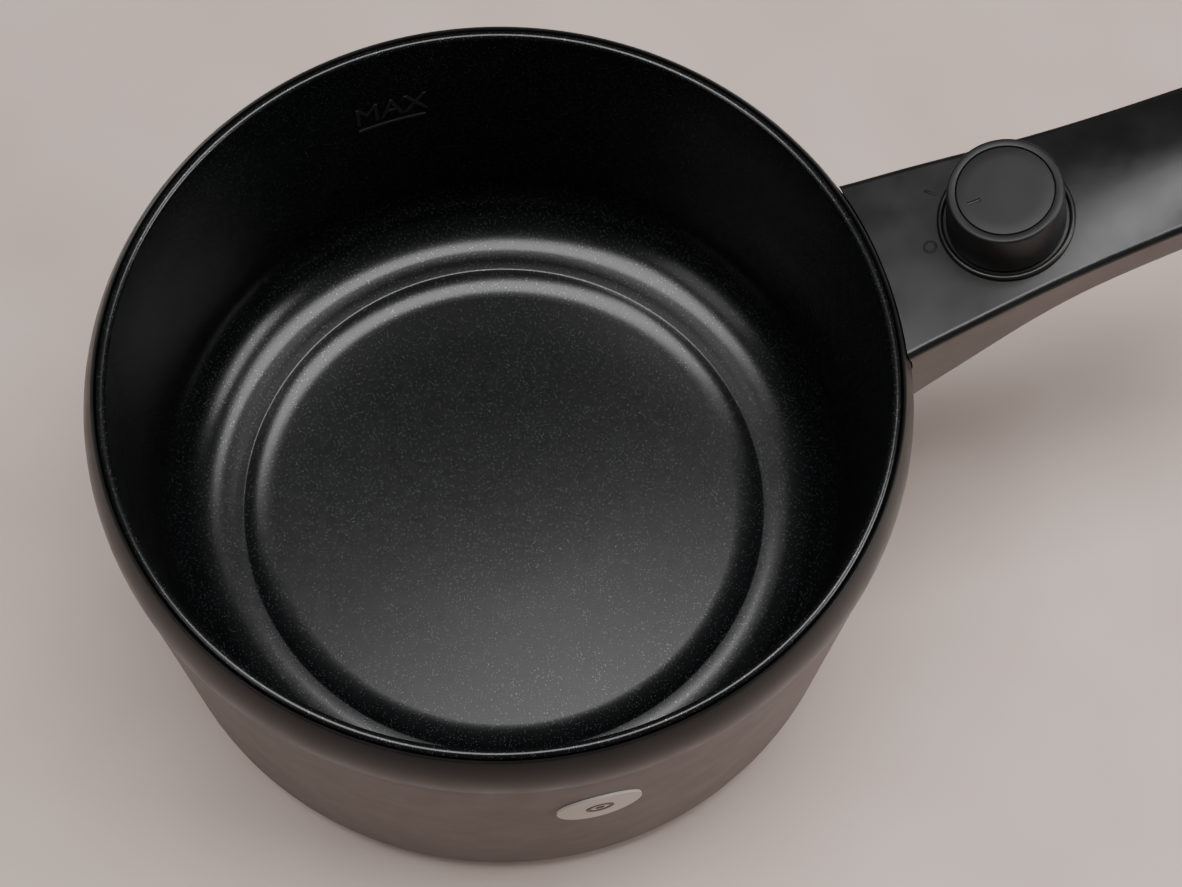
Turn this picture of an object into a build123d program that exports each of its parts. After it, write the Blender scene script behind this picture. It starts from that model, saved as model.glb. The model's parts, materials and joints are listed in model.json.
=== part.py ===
from build123d import *
import os
from math import sin, cos, tan, radians, sqrt

# Electric saucepan: a non-stick pan in a plastic body, a heater under the pan, and a side handle
# with a three-position power knob. Origin on the pan's axis at the floor, handle along +X, Z up.

# ---- driving dimensions (mm) ----
rim_height = 110.0        # floor to the reference circle on the rim ring
rim_r = 95.0              # radius of that circle
pan_depth = 83.8          # reference circle down to the flat annulus of the pan floor
handle_len = 145.0        # along the handle, from the handle origin to its rounded end
handle_tilt = 14.1        # degrees, the handle rises outwards
handle_root_out = 5.0     # handle origin, outside the reference circle
handle_root_rise = 0.4    # handle origin above the reference circle

# ---- pan ----
pan_wall = 1.8
pan_base_t = 2.2
lip_inset = 2.9                  # reference circle to the pan's inner edge
pan_wall_lean = 1.6              # the wall closes in by this much down to the corner
corner_r = 17.3                  # inner corner radius
corner_meet = 12.0               # degrees between the annulus and the corner's first tangent
annulus_w = 6.0
slope_run = 8.0                  # width of the slope from the annulus down to the central floor
recess_drop = 2.5
lip_bead_r = 1.2
lip_bead_drop = 1.8              # bead centre below the reference circle

# ---- rim ring ----
ring_arc_r = 21.0
ring_arc_in = 17.1               # the arc's centre, inside the reference circle
ring_drop = 14.0                 # reference circle down to the ring's lower edge
ring_bulge_drop = 12.2           # reference circle down to the arc's centre height
ring_bulge_angle = 20.0          # degrees, a point half way round the bulge
ring_inner_gap = 0.5             # pan wall to ring bore
ring_lip_gap = 0.3               # lip bead to the ring's top edge
ring_crest_w = 0.5               # flat-topped edge beside the lip
spigot_len = 3.0
spigot_wall = 1.5
spigot_gap = 0.1
seam = 0.4                       # shadow gap between ring and shell
seam_depth = 0.6
seal_size = 1.6
seal_rise = 3.0                  # seal above the ring's lower edge
seal_gap = 0.05

# ---- outer shell ----
shell_wall = 2.0
shell_top_step = 0.25            # shell sits inside the ring's edge
shell_draft = 1.65               # degrees
shell_corner_r = 8.0
foot_height = 3.0
ledge_t = 2.5
ledge_w = 6.0
base_rim_w = 8.1                 # flat underside between the corner and the base cover
hollow_ramp_w = 7.0              # thicker corner inside, at the ledge
hollow_ramp_h = 7.0

# ---- base ----
cover_t = 2.5
cover_gap = 0.3
foot_ring_w = 9.0
foot_ring_inset = 5.0            # foot ring to the ledge's bore
foot_groove = 1.0
foot_bevel = 0.8
base_screw_r = 1.45
base_screw_head_r = 2.6
base_screw_head_h = 1.4
screw_hole_gap = 0.05
screw_pass_gap = 0.3
base_boss_r = 4.0
base_boss_h = 8.0
boss_sink = 0.5                  # how far a boss reaches into what carries it
base_screw_angles = (45, 135, 225, 315)
vent_count = 12
base_vent = (16.0, 2.2)          # length and width of a slot in the base cover
base_vent_r = 35.5
shield_vent = (14.0, 3.0)
slot_w = 0.7                     # driver slot in the small screws
slot_depth = 0.6

# ---- heater ----
plate_inset = 2.8                # plate edge inside the pan's central floor
plate_t = 3.0
tube_r = 3.3
tube_inset = 14.0                # tube's circle inside the plate's edge
tube_gap_angle = 20.0            # half of the gap that faces the handle
tube_sink = 1.8                  # how far the tube sits in the plate's groove
bead_r = 2.9
bead_len = 3.0
pin_r = 1.2
pin_len = 7.0
stud_r = 2.0
stud_inset = 14.0                # studs inside the tube's circle
stud_angles = (90, 210, 330)
stud_hole_gap = 0.3
spacer_r = 3.5
spacer_bore_gap = 0.05
nut_af = 7.0
nut_h = 2.4
shield_t = 0.6
shield_gap = 1.5                 # shield's edge to the ledge's bore, and its arms to the shell's corner
shield_arm_w = 10.0
bracket_t = 0.6
bracket_arm_w = 8.0
bracket_arm_over = 4.0           # arm beyond the stud's centre
thermostat_r = 8.5
thermostat_cap_r = 8.0
thermostat_cap_gap = 1.0
thermostat_drop = 0.2            # body below the plate's underside
lower_spacer_h = 1.9
blade_w = 6.3
blade_t = 0.8
blade_len = 12.0
blade_sink = 2.5
blade_rise = 1.6                 # above the thermostat's foot
blade_hole_r = 0.9
blade_hole_in = 2.6

# ---- thermal fuse, beside the plate ----
fuse_out = 6.5                   # fuse axis outside the plate's edge
fuse_drop = 1.5
fuse_y0 = 13.0
fuse_len = 16.0
fuse_r = 1.9
fuse_sleeve_r = 2.5
fuse_end_in = 3.0                # can shorter than its sleeve, and wires longer, by this much
fuse_wire_r = 0.5
clip_w = 6.0
clip_t = 0.6
clip_reach = 10.0                # clip foot under the plate

# ---- earth tag on the plate ----
earth_in = 10.0                  # inside the tube's circle
earth_ring_r = 3.0
earth_tail = 5.5
earth_tail_w = 2.8
earth_screw_r = 1.2
earth_screw_depth = 2.0
earth_head_r = 2.5
earth_head_h = 1.6

# ---- power inlet ----
inlet_rise = 17.0                # its centre above the shell's underside
inlet_half_w = 12.2              # inside the recess
inlet_half_h = 8.3
inlet_chamfer = 3.5
inlet_wall = 1.4
inlet_fit = 0.2
inlet_depth = 14.5
inlet_sink = 6.4                 # inlet's back inside the shell's wall
inlet_back_t = 2.0
inlet_flange_t = 1.5
inlet_screw_out = 3.9            # screws beside the inlet's wall
inlet_screw_margin = 4.5
inlet_flange_rise = 3.2          # flange above and below the recess
flange_corner_r = 4.0
inlet_pitch = 7.0
inlet_pin_w = 4.0
inlet_pin_t = 2.0
inlet_pin_drop = 1.5             # outer pins below the centre
inlet_earth_rise = 2.0
inlet_pin_in = 3.5               # pin tips behind the mouth
inlet_pin_tail = 6.0
inlet_pin_bevel = 0.5
inlet_screw_r = 1.5
inlet_screw_len = 8.8
inlet_head_r = 2.7
inlet_head_h = 1.2
boss_margin = 1.0

# ---- handle ----
parting = 3.5                    # cover edge below the handle's top plane
handle_wall = 2.4
root_gap = 0.3                   # handle root to rim ring
root_overlap = 14.0              # how far the blank runs in before it is trimmed to the body
handle_floor_r = 9.0             # rounding of the handle's lower corners
shoulder = 1.7                   # rounding between the top arc and the side
foot_share = 0.94                # the underside is a little narrower than the widest line
handle_screw_r = 1.2
handle_screw_fit = 0.05
handle_head_r = 2.9
handle_head_h = 1.8
head_gap = 0.3
cover_boss_r = 3.4
base_post_r = 4.2
post_gap = 0.2
screw_seat = 6.0                 # counterbore depth in the handle's underside
screw_boss_low = -12.0
screw_bite = 8.0                 # screw into the cover's boss
first_screw_at = 41.0            # beyond the knob
screw_from_end = 27.0

# ---- handle bracket, bolts, nuts and the slot for the leads ----
bolt_drop = 7.6                  # bolts below the shell's top edge
bolt_y = 7.8
bolt_r = 2.0
bolt_hole_gap = 0.15
bolt_head_r = 3.3
bolt_head_h = 1.6
bolt_nut_af = 6.8
bolt_nut_h = 3.0
bolt_over = 1.2                  # bolt end beyond its nut
arm_plate_t = 2.0
arm_t = 1.5
arm_half_w = 13.0
arm_plate_h = 13.5
arm_plate_drop = 0.6             # plate's top below the shell's top edge
arm_len = 9.0                    # each way from the handle's origin
arm_top = -13.0
arm_low = -25.0
slot_half = 4.8
slot_top_drop = 12.1
slot_low_drop = 21.5

# ---- knob and switch ----
knob_at = 27.0                   # along the handle from its origin
knob_r = 13.6
knob_base_r = 14.2
knob_top = 15.6
knob_bottom = 0.8
knob_wall = 1.7
knob_roof = 2.6
knob_edge_r = 1.0
disc_r = 11.3
disc_gap = 0.35
disc_t = 1.2
disc_bevel = 0.3
pointer_in = 6.2                 # pointer line, from here to
pointer_out = 9.2
pointer_w = 0.7
pointer_depth = 0.25
hub_r = 6.0
hub_bottom = 4.6
shaft_r = 3.0
shaft_flat = 1.0                 # depth of the D flat
shaft_flat_low = 5.0
shaft_top = 12.4
shaft_end_gap = 0.1
knob_clip_w = 3.0
knob_clip_t = 0.4
knob_clip_low = 6.0
knob_clip_high = 11.5
neck_r = 4.5
neck_over = 3.6                  # neck above the handle's plane
running_gap = 0.05
collar_gap = 0.7                 # knob's foot to the collar
collar_w = 1.5
collar_h = 1.3
switch_half = 11.0
switch_top = 3.0                 # below the top plane
switch_depth = 14.0
switch_wall = 1.6
shaft_sink = 0.5                 # foot of the shaft above the switch's underside
rotor_r = 8.0
rotor_h = 7.0
rotor_gap = 0.3
rotor_room = 1.2
notch_r = 1.3
notch_out = 0.6
ball_r = 0.85
ball_out = 0.9
spring_r = 1.2
spring_bore_r = 0.7
spring_len = 1.3
spring_out = 2.5
pocket_r = 1.7
pocket_len = 3.0
pocket_out = 2.0
terminal_w = 4.0
terminal_len = 5.0
terminal_sink = 1.6
terminal_y = 6.0
terminal_rise = 1.0
switch_nut_r = 7.0
switch_nut_h = 2.0
plate_hole_gap = 0.1
turn_step = 45.0                 # degrees between the knob's positions

# ---- diode and leads ----
diode_after = 25.0               # beyond the knob
diode_r = 2.6
diode_len = 8.0
diode_wire_r = 0.45
diode_wire = 8.5
lead_r = 0.9
lead_y = 3.5
lead_clear = 0.8                 # lead to the pan's outside
lead_over_terminal = 0.4         # lead's axis above a terminal's underside

# ---- badge ----
badge_r = 10.3
badge_t = 0.6
badge_angle = -92.7
badge_z = 69.2

# ---- sizes that follow from these ----
handle_root_r = rim_r + handle_root_out
pan_top_r = rim_r - lip_inset
pan_annulus_z = rim_height - pan_depth
pan_floor_z = pan_annulus_z - recess_drop
pan_under_z = pan_floor_z - pan_base_t
ring_arc_centre_r = rim_r - ring_arc_in
ring_arc_centre_z = rim_height - ring_bulge_drop
ring_low_z = rim_height - ring_drop
shell_top_z = ring_low_z - seam
collar_in_r = knob_base_r + collar_gap
collar_out_r = collar_in_r + collar_w
bolt_z = shell_top_z - bolt_drop
slot_z0 = shell_top_z - slot_low_drop
slot_z1 = shell_top_z - slot_top_drop

handle_pos = Location((handle_root_r, 0, rim_height + handle_root_rise), (0, -handle_tilt, 0))


def on_handle(x, y, n):
    """A point given along, across and above the handle, in the part's frame."""
    t = radians(handle_tilt)
    return (handle_root_r + x * cos(t) - n * sin(t), y,
            rim_height + handle_root_rise + x * sin(t) + n * cos(t))


def turned(profile, arc=360.0):
    """Revolve a closed outline of (radius, height) about the pan's axis."""
    return revolve(Plane.XZ * profile, Axis.Z, revolution_arc=arc)


def outline(*edges):
    return make_face(Curve() + list(edges))


def polygon(*points):
    return make_face(Polyline(*points, close=True))


def rod(radius, height, x=0.0, y=0.0, z=0.0):
    """A Z cylinder that starts at height z."""
    return Pos(x, y, z) * Cylinder(radius, height, align=(Align.CENTER, Align.CENTER, Align.MIN))


def block(x0, x1, y0, y1, z0, z1):
    """A box between two corners."""
    return Pos((x0 + x1) / 2, (y0 + y1) / 2, (z0 + z1) / 2) * Box(x1 - x0, y1 - y0, z1 - z0)


def polar(radius, angle):
    return radius * cos(radians(angle)), radius * sin(radians(angle))


def rods_at(circle_r, angles, radius, height, z):
    """Equal rods on a circle, as a list."""
    return [rod(radius, height, *polar(circle_r, a), z) for a in angles]


def less(solid, tools):
    for tool in tools:
        solid = solid - tool
    return solid


def tube_along(points, radii, radius):
    """A lead: straight runs with tangent arcs, swept by a circle."""
    path = FilletPolyline(*points, radius=radii)
    section = Plane(origin=path @ 0, z_dir=path % 0) * Circle(radius)
    return sweep(section, path)


# ---- pan ----
meet = radians(corner_meet)
wall_low_r = pan_top_r - pan_wall_lean
corner_centre_r = wall_low_r - corner_r
corner_centre_z = pan_annulus_z + corner_r * cos(meet)
corner_start_r = corner_centre_r + corner_r * sin(meet)
annulus_in_r = corner_start_r - annulus_w
recess_in_r = annulus_in_r - slope_run
lip_r = pan_top_r + lip_bead_r
lip_z = rim_height - lip_bead_drop


def wall_inner_r(z):
    """Inner radius of the straight pan wall at height z."""
    return pan_top_r - pan_wall_lean * (rim_height - z) / (rim_height - corner_centre_z)


def pan_outer_r(z):
    """Outer radius of the pan at height z, on its wall or its corner, or over the corner's foot."""
    outer = corner_r + pan_wall
    if z >= corner_centre_z:
        return wall_inner_r(z) + pan_wall
    drop = min(outer, corner_centre_z - z)
    return corner_centre_r + sqrt(outer ** 2 - drop ** 2)


def corner_point(radius, angle):
    """A point on the pan's corner, the angle measured from straight down."""
    return (corner_centre_r + radius * sin(radians(angle)), corner_centre_z - radius * cos(radians(angle)))


def recess_arc(drop):
    """The slope from the central floor up to the annulus, level at its foot."""
    start = (recess_in_r, pan_floor_z - drop)
    return TangentArc(start, (annulus_in_r, pan_annulus_z - drop), tangent=(1, 0))


def inner_pan():
    outer = corner_r + pan_wall
    inner_mid = corner_point(corner_r, (corner_meet + 90) / 2)
    outer_mid = corner_point(outer, 45)
    outer_low = corner_point(outer, 0)
    under = pan_annulus_z - pan_base_t
    top_in = (pan_top_r, lip_z)
    top_out = (pan_top_r + pan_wall, lip_z)
    face = outline(
        Line((0, pan_floor_z), (recess_in_r, pan_floor_z)),
        recess_arc(0),
        Line((annulus_in_r, pan_annulus_z), (corner_start_r, pan_annulus_z)),
        ThreePointArc((corner_start_r, pan_annulus_z), inner_mid, (wall_low_r, corner_centre_z)),
        Line((wall_low_r, corner_centre_z), top_in),
        Line(top_in, top_out),
        Line(top_out, (wall_low_r + pan_wall, corner_centre_z)),
        ThreePointArc((wall_low_r + pan_wall, corner_centre_z), outer_mid, outer_low),
        Line(outer_low, (annulus_in_r, under)),
        recess_arc(pan_base_t),
        Line((recess_in_r, pan_under_z), (0, pan_under_z)),
        Line((0, pan_under_z), (0, pan_floor_z)),
    )
    face = face + Pos(lip_r, lip_z) * Circle(lip_bead_r)
    return turned(face)


# ---- rim ring and seal ----
ring_bore_r = pan_top_r + pan_wall + ring_inner_gap
ring_top_in_r = lip_r + lip_bead_r + ring_lip_gap
seal_z = ring_low_z + seal_rise


def ring_arc_z(r):
    return ring_arc_centre_z + sqrt(ring_arc_r ** 2 - (r - ring_arc_centre_r) ** 2)


def ring_arc_r_at(z):
    return ring_arc_centre_r + sqrt(ring_arc_r ** 2 - (z - ring_arc_centre_z) ** 2)


ring_edge_r = ring_arc_r_at(ring_low_z)
shell_top_r = ring_edge_r - shell_top_step
shell_inner_top_r = shell_top_r - shell_wall
spigot_out_r = shell_inner_top_r - spigot_gap
step_z = lip_z - lip_bead_r - ring_lip_gap
seam_r = shell_top_r - seam_depth


def ring_bulge(grown=0.0):
    """A point on the ring's outer arc, or on one grown outwards."""
    angle = radians(ring_bulge_angle)
    return (ring_arc_centre_r + (ring_arc_r + grown) * cos(angle),
            ring_arc_centre_z + (ring_arc_r + grown) * sin(angle))


def rim_ring():
    crest_r = ring_top_in_r + ring_crest_w
    crest_z = ring_arc_z(crest_r)
    spigot_z = shell_top_z - spigot_len
    face = outline(
        Line((crest_r, crest_z), (ring_top_in_r, crest_z - ring_crest_w)),
        Line((ring_top_in_r, crest_z - ring_crest_w), (ring_top_in_r, step_z)),
        Line((ring_top_in_r, step_z), (ring_bore_r, step_z)),
        Line((ring_bore_r, step_z), (ring_bore_r, spigot_z)),
        Line((ring_bore_r, spigot_z), (spigot_out_r, spigot_z)),
        Line((spigot_out_r, spigot_z), (spigot_out_r, shell_top_z)),
        Line((spigot_out_r, shell_top_z), (seam_r, shell_top_z)),
        Line((seam_r, shell_top_z), (seam_r, ring_low_z)),
        Line((seam_r, ring_low_z), (ring_edge_r, ring_low_z)),
        ThreePointArc((ring_edge_r, ring_low_z), ring_bulge(), (crest_r, crest_z)),
    )
    groove_w = 2 * (seal_size - ring_inner_gap)
    groove = Pos(ring_bore_r, seal_z + seal_size / 2) * Rectangle(groove_w, seal_size)
    return turned(face - groove)


def rim_seal():
    """Square silicone ring that closes the gap between pan and rim ring."""
    top = seal_z + seal_size
    inner = wall_inner_r(top) + pan_wall + seal_gap
    outer = ring_bore_r + seal_size - ring_inner_gap
    return turned(polygon((inner, seal_z), (outer, seal_z), (outer, top), (inner, top)))


# ---- outer shell, badge ----
draft = radians(shell_draft)
corner_top_z = foot_height + shell_corner_r * (1 + sin(draft))
shell_low_r = shell_top_r - (shell_top_z - corner_top_z) * tan(draft)
shell_flat_r = shell_low_r - shell_corner_r * cos(draft)
ledge_z = foot_height + cover_t + ledge_t
ledge_step_r = shell_flat_r - base_rim_w
ledge_in_r = ledge_step_r - ledge_w
screw_circle_r = ledge_step_r - ledge_w / 2
foot_ring_out_r = ledge_in_r - foot_ring_inset
foot_ring_in_r = foot_ring_out_r - foot_ring_w


def shell_r_at(z):
    """Outer radius of the shell's straight wall at height z."""
    return shell_top_r - (shell_top_z - z) * tan(draft)


inlet_z = foot_height + inlet_rise
inlet_back_x = shell_r_at(inlet_z) - inlet_sink
inlet_front_x = inlet_back_x + inlet_back_t + inlet_depth
boss_front_x = inlet_front_x - inlet_flange_t
inlet_screw_y = inlet_half_w + inlet_wall + inlet_screw_out
inlet_flange_half_w = inlet_screw_y + inlet_screw_margin
inlet_flange_half_h = inlet_half_h + inlet_flange_rise
pin_tail_x = inlet_back_x - inlet_pin_tail


def along_x(radius, x0, x1, y, z):
    """An X cylinder between two places."""
    return Pos((x0 + x1) / 2, y, z) * Rot(0, 90, 0) * Cylinder(radius, x1 - x0)


def along_y(radius, x, y0, y1, z):
    return Pos(x, (y0 + y1) / 2, z) * Rot(90, 0, 0) * Cylinder(radius, y1 - y0)


def shell_outside():
    """The shell's outer form as a solid."""
    turn = sin(radians(45))
    mid = (shell_flat_r + shell_corner_r * turn, foot_height + shell_corner_r * (1 - turn))
    face = outline(
        Line((0, foot_height), (shell_flat_r, foot_height)),
        ThreePointArc((shell_flat_r, foot_height), mid, (shell_low_r, corner_top_z)),
        Line((shell_low_r, corner_top_z), (shell_top_r, shell_top_z)),
        Line((shell_top_r, shell_top_z), (0, shell_top_z)),
        Line((0, shell_top_z), (0, foot_height)),
    )
    return turned(face)


def shell_inside():
    """The space inside the shell's wall, above its ledge."""
    ramp_z = ledge_z + hollow_ramp_h
    ramp_r = shell_r_at(ramp_z) - shell_wall
    return turned(polygon(
        (0, ledge_z), (ramp_r - hollow_ramp_w, ledge_z), (ramp_r, ramp_z),
        (shell_inner_top_r, shell_top_z), (0, shell_top_z)))


def inlet_pad(half_w, half_h, x0, x1):
    """A plate with rounded corners round the inlet, square to X."""
    pad = block(x0, x1, -half_w, half_w, inlet_z - half_h, inlet_z + half_h)
    return fillet(pad.edges().filter_by(Axis.X), flange_corner_r)


def outer_shell():
    body = shell_outside() - shell_inside()
    body = body - rod(ledge_in_r, ledge_z - foot_height, z=foot_height)
    body = body - rod(ledge_step_r, cover_t, z=foot_height)
    pad = inlet_pad(inlet_flange_half_w + boss_margin, inlet_flange_half_h + boss_margin,
                    inlet_back_x, boss_front_x)
    body = body + (pad - shell_inside())
    for boss in rods_at(screw_circle_r, base_screw_angles, base_boss_r, base_boss_h, ledge_z - boss_sink):
        body = body + boss
    hole_r = base_screw_r + screw_hole_gap
    body = less(body, rods_at(screw_circle_r, base_screw_angles, hole_r, base_boss_h, foot_height))
    half_w = inlet_half_w + inlet_wall + inlet_fit
    half_h = inlet_half_h + inlet_wall + inlet_fit
    cut_in = ledge_step_r + base_boss_r
    body = body - block(cut_in, inlet_front_x, -half_w, half_w, inlet_z - half_h, inlet_z + half_h)
    bolt_x = shell_r_at(bolt_z)
    for side in (-1, 1):
        hole_x = inlet_front_x - inlet_screw_len
        hole_r = inlet_screw_r + screw_hole_gap
        body = body - along_x(hole_r, hole_x, inlet_front_x, side * inlet_screw_y, inlet_z)
        through = 3 * shell_wall
        hole_r = bolt_r + bolt_hole_gap
        body = body - along_x(hole_r, bolt_x - through, bolt_x + through, side * bolt_y, bolt_z)
    slot_in = shell_r_at(slot_z0) - 4 * shell_wall
    return body - block(slot_in, shell_top_r + 4 * shell_wall, -slot_half, slot_half, slot_z0, slot_z1)


def shell_cone(grow):
    """The shell's straight wall, grown outwards, as a solid cone frustum."""
    low, high = corner_top_z + 1, shell_top_z
    low_r, high_r = shell_r_at(low) + grow, shell_r_at(high) + grow
    return turned(polygon((0, low), (low_r, low), (high_r, high), (0, high)))


def badge():
    """A plain round disc that follows the shell's wall."""
    x, y = polar(shell_r_at(badge_z), badge_angle)
    cut = Pos(x, y, badge_z) * Rot(0, 0, badge_angle) * Rot(0, 90, 0) * Cylinder(badge_r, badge_r)
    skin = shell_cone(badge_t) - shell_cone(0.0)
    return (skin & cut).solids()[0]


# ---- base cover, screws, foot ----
def vents(size, radius, z, thickness):
    """Radial slots on a circle, as tools to cut with."""
    step = 360 / vent_count
    return [Rot(0, 0, i * step) * Pos(radius, 0, z + thickness / 2) * Box(*size, 2 * thickness)
            for i in range(vent_count)]


def base_cover():
    disc = rod(ledge_step_r - cover_gap, cover_t, z=foot_height)
    groove = rod(foot_ring_out_r, foot_groove, z=foot_height)
    groove = groove - rod(foot_ring_in_r, foot_groove, z=foot_height)
    pass_r = base_screw_r + screw_pass_gap
    disc = less(disc - groove, rods_at(screw_circle_r, base_screw_angles, pass_r, cover_t, foot_height))
    return less(disc, vents(base_vent, base_vent_r, foot_height, cover_t))


def base_screws():
    head_z = foot_height - base_screw_head_h
    parts = []
    for a in base_screw_angles:
        x, y = polar(screw_circle_r, a)
        shank = rod(base_screw_r, base_boss_h, x, y, foot_height - screw_hole_gap)
        head = rod(base_screw_head_r, base_screw_head_h, x, y, head_z)
        slot = Pos(x, y, head_z) * Box(1.4 * base_screw_head_r, slot_w, 2 * slot_depth)
        parts.append(shank + head - slot)
    return parts


def foot_ring():
    height = foot_height + foot_groove
    ring = rod(foot_ring_out_r, height) - rod(foot_ring_in_r, height)
    edges = ring.edges().filter_by(GeomType.CIRCLE).group_by(Axis.Z)[0]
    return chamfer(edges, foot_bevel)


# ---- heater under the pan ----
plate_r = recess_in_r - plate_inset
tube_ring_r = plate_r - tube_inset
stud_circle_r = tube_ring_r - stud_inset
earth_x = tube_ring_r - earth_in
fuse_x = plate_r + fuse_out
shield_r = ledge_in_r - shield_gap
plate_z = pan_under_z - plate_t
fuse_z = plate_z - fuse_drop
fuse_y1 = fuse_y0 + fuse_len
tube_z = plate_z + tube_sink - tube_r
shield_z = ledge_z
bracket_z = shield_z + shield_t + lower_spacer_h
thermostat_top_z = plate_z - thermostat_drop
nut_z = shield_z - nut_h
spacer_bore_r = stud_r + spacer_bore_gap


def tube_torus(radius):
    span = 360 - 2 * tube_gap_angle
    section = Pos(tube_ring_r, tube_z) * Circle(radius)
    return Rot(0, 0, tube_gap_angle) * turned(section, span)


def heat_plate():
    disc = rod(plate_r, plate_t, z=plate_z) - rod(thermostat_cap_r + thermostat_cap_gap, plate_t, z=plate_z)
    disc = disc - turned(Pos(tube_ring_r, tube_z) * Circle(tube_r))
    disc = disc - rod(earth_screw_r + screw_hole_gap, earth_screw_depth, earth_x, 0, plate_z)
    return less(disc, rods_at(stud_circle_r, stud_angles, stud_r + stud_hole_gap, plate_t, plate_z))


def tube_end(side):
    """A frame at one end of the heating tube, Z pointing out of the tube."""
    angle = side * tube_gap_angle
    x, y = polar(tube_ring_r, angle)
    out = Vector(sin(radians(abs(angle))), -side * cos(radians(angle)), 0)
    return Plane(origin=(x, y, tube_z), z_dir=out)


def element_beads():
    return [tube_end(side) * (rod(bead_r, bead_len) - rod(pin_r, bead_len)) for side in (1, -1)]


def element_pins():
    return [tube_end(side) * rod(pin_r, bead_len + pin_len) for side in (1, -1)]


def pan_studs():
    length = pan_under_z - nut_z
    return rods_at(stud_circle_r, stud_angles, stud_r, length, nut_z)


def stud_spacers():
    """Sleeves that hold shield, thermostat bracket and plate apart."""
    parts = []
    low = shield_z + shield_t
    for a in stud_angles:
        x, y = polar(stud_circle_r, a)
        for z0, z1 in ((low, bracket_z), (bracket_z + bracket_t, plate_z)):
            parts.append(rod(spacer_r, z1 - z0, x, y, z0) - rod(spacer_bore_r, z1 - z0, x, y, z0))
    return parts


def stud_nuts():
    parts = []
    for a in stud_angles:
        x, y = polar(stud_circle_r, a)
        nut = extrude(Pos(x, y, nut_z) * RegularPolygon(nut_af / 2, 6, major_radius=False), nut_h)
        parts.append(nut - rod(stud_r, nut_h, x, y, nut_z))
    return parts


def heat_shield():
    disc = rod(shield_r, shield_t, z=shield_z)
    half = shield_arm_w / 2
    arm = block(shield_r - half, ledge_step_r - shield_gap, -half, half, shield_z, shield_z + shield_t)
    for a in stud_angles:
        disc = disc + Rot(0, 0, a) * arm
    disc = less(disc, rods_at(stud_circle_r, stud_angles, spacer_bore_r, shield_t, shield_z))
    return less(disc, vents(shield_vent, tube_ring_r + shield_arm_w, shield_z, shield_t))


thermostat_foot_z = bracket_z + bracket_t
blade_z = thermostat_foot_z + blade_rise
blade_mid_z = blade_z + blade_t / 2
blade_end = thermostat_r - blade_sink + blade_len


def thermostat_body():
    body = rod(thermostat_r, thermostat_top_z - thermostat_foot_z, z=thermostat_foot_z)
    return less(body, thermostat_blades())


def thermostat_blades():
    inner = thermostat_r - blade_sink
    blade = block(-blade_w / 2, blade_w / 2, inner, blade_end, blade_z, blade_z + blade_t)
    blade = blade - rod(blade_hole_r, blade_t, 0, blade_end - blade_hole_in, blade_z)
    return [blade, Rot(0, 0, 180) * blade]


def thermostat_cap():
    return rod(thermostat_cap_r, pan_under_z - thermostat_top_z, z=thermostat_top_z)


def thermostat_bracket():
    """Three-armed spring plate on the studs that presses the thermostat up."""
    plate = rod(thermostat_r + bracket_t, bracket_t, z=bracket_z)
    half = bracket_arm_w / 2
    arm = block(0, stud_circle_r + bracket_arm_over, -half, half, bracket_z, bracket_z + bracket_t)
    for a in stud_angles:
        plate = plate + Rot(0, 0, a) * arm
    return less(plate, rods_at(stud_circle_r, stud_angles, spacer_bore_r, bracket_t, bracket_z))


def thermal_fuse():
    can = along_y(fuse_r, fuse_x, fuse_y0 + fuse_end_in, fuse_y1 - fuse_end_in, fuse_z)
    return can + along_y(fuse_wire_r, fuse_x, fuse_y0 - fuse_end_in, fuse_y1 + fuse_end_in, fuse_z)


def fuse_sleeve():
    sleeve = along_y(fuse_sleeve_r, fuse_x, fuse_y0, fuse_y1, fuse_z)
    return sleeve - along_y(fuse_r, fuse_x, fuse_y0, fuse_y1, fuse_z)


def fuse_clip():
    """A strap from under the plate's edge that wraps the fuse."""
    y0 = (fuse_y0 + fuse_y1 - clip_w) / 2
    y1 = y0 + clip_w
    bore = along_y(fuse_sleeve_r, fuse_x, y0, y1, fuse_z)
    ring = along_y(fuse_sleeve_r + clip_t, fuse_x, y0, y1, fuse_z)
    foot = block(plate_r - clip_reach, fuse_x - fuse_sleeve_r, y0, y1, plate_z - clip_t, plate_z)
    return (ring - bore) + (foot - bore)


def earth_tag():
    z = plate_z - blade_t
    half = earth_tail_w / 2
    tail = block(earth_x, earth_x + earth_tail, -half, half, z, plate_z)
    tag = rod(earth_ring_r, blade_t, earth_x, 0, z) + tail
    return tag - rod(earth_screw_r + screw_hole_gap, blade_t, earth_x, 0, z)


def earth_screw():
    z = plate_z - blade_t
    shank = rod(earth_screw_r, earth_screw_depth + blade_t, earth_x, 0, z)
    return shank + rod(earth_head_r, earth_head_h, earth_x, 0, z - earth_head_h)


# ---- power inlet ----
def inlet_housing():
    half_w = inlet_half_w + inlet_wall
    half_h = inlet_half_h + inlet_wall
    body = block(inlet_back_x, inlet_front_x, -half_w, half_w, inlet_z - half_h, inlet_z + half_h)
    body = body + inlet_pad(inlet_flange_half_w, inlet_flange_half_h, boss_front_x, inlet_front_x)
    recess = block(inlet_back_x + inlet_back_t, inlet_front_x, -inlet_half_w, inlet_half_w,
                   inlet_z - inlet_half_h, inlet_z + inlet_half_h)
    top_edges = recess.edges().filter_by(Axis.X).group_by(Axis.Z)[-1]
    body = body - chamfer(top_edges, inlet_chamfer)
    for side in (-1, 1):
        y = side * inlet_screw_y
        body = body - along_x(inlet_screw_r + inlet_fit, boss_front_x, inlet_front_x, y, inlet_z)
    return less(body, inlet_pins())


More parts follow.
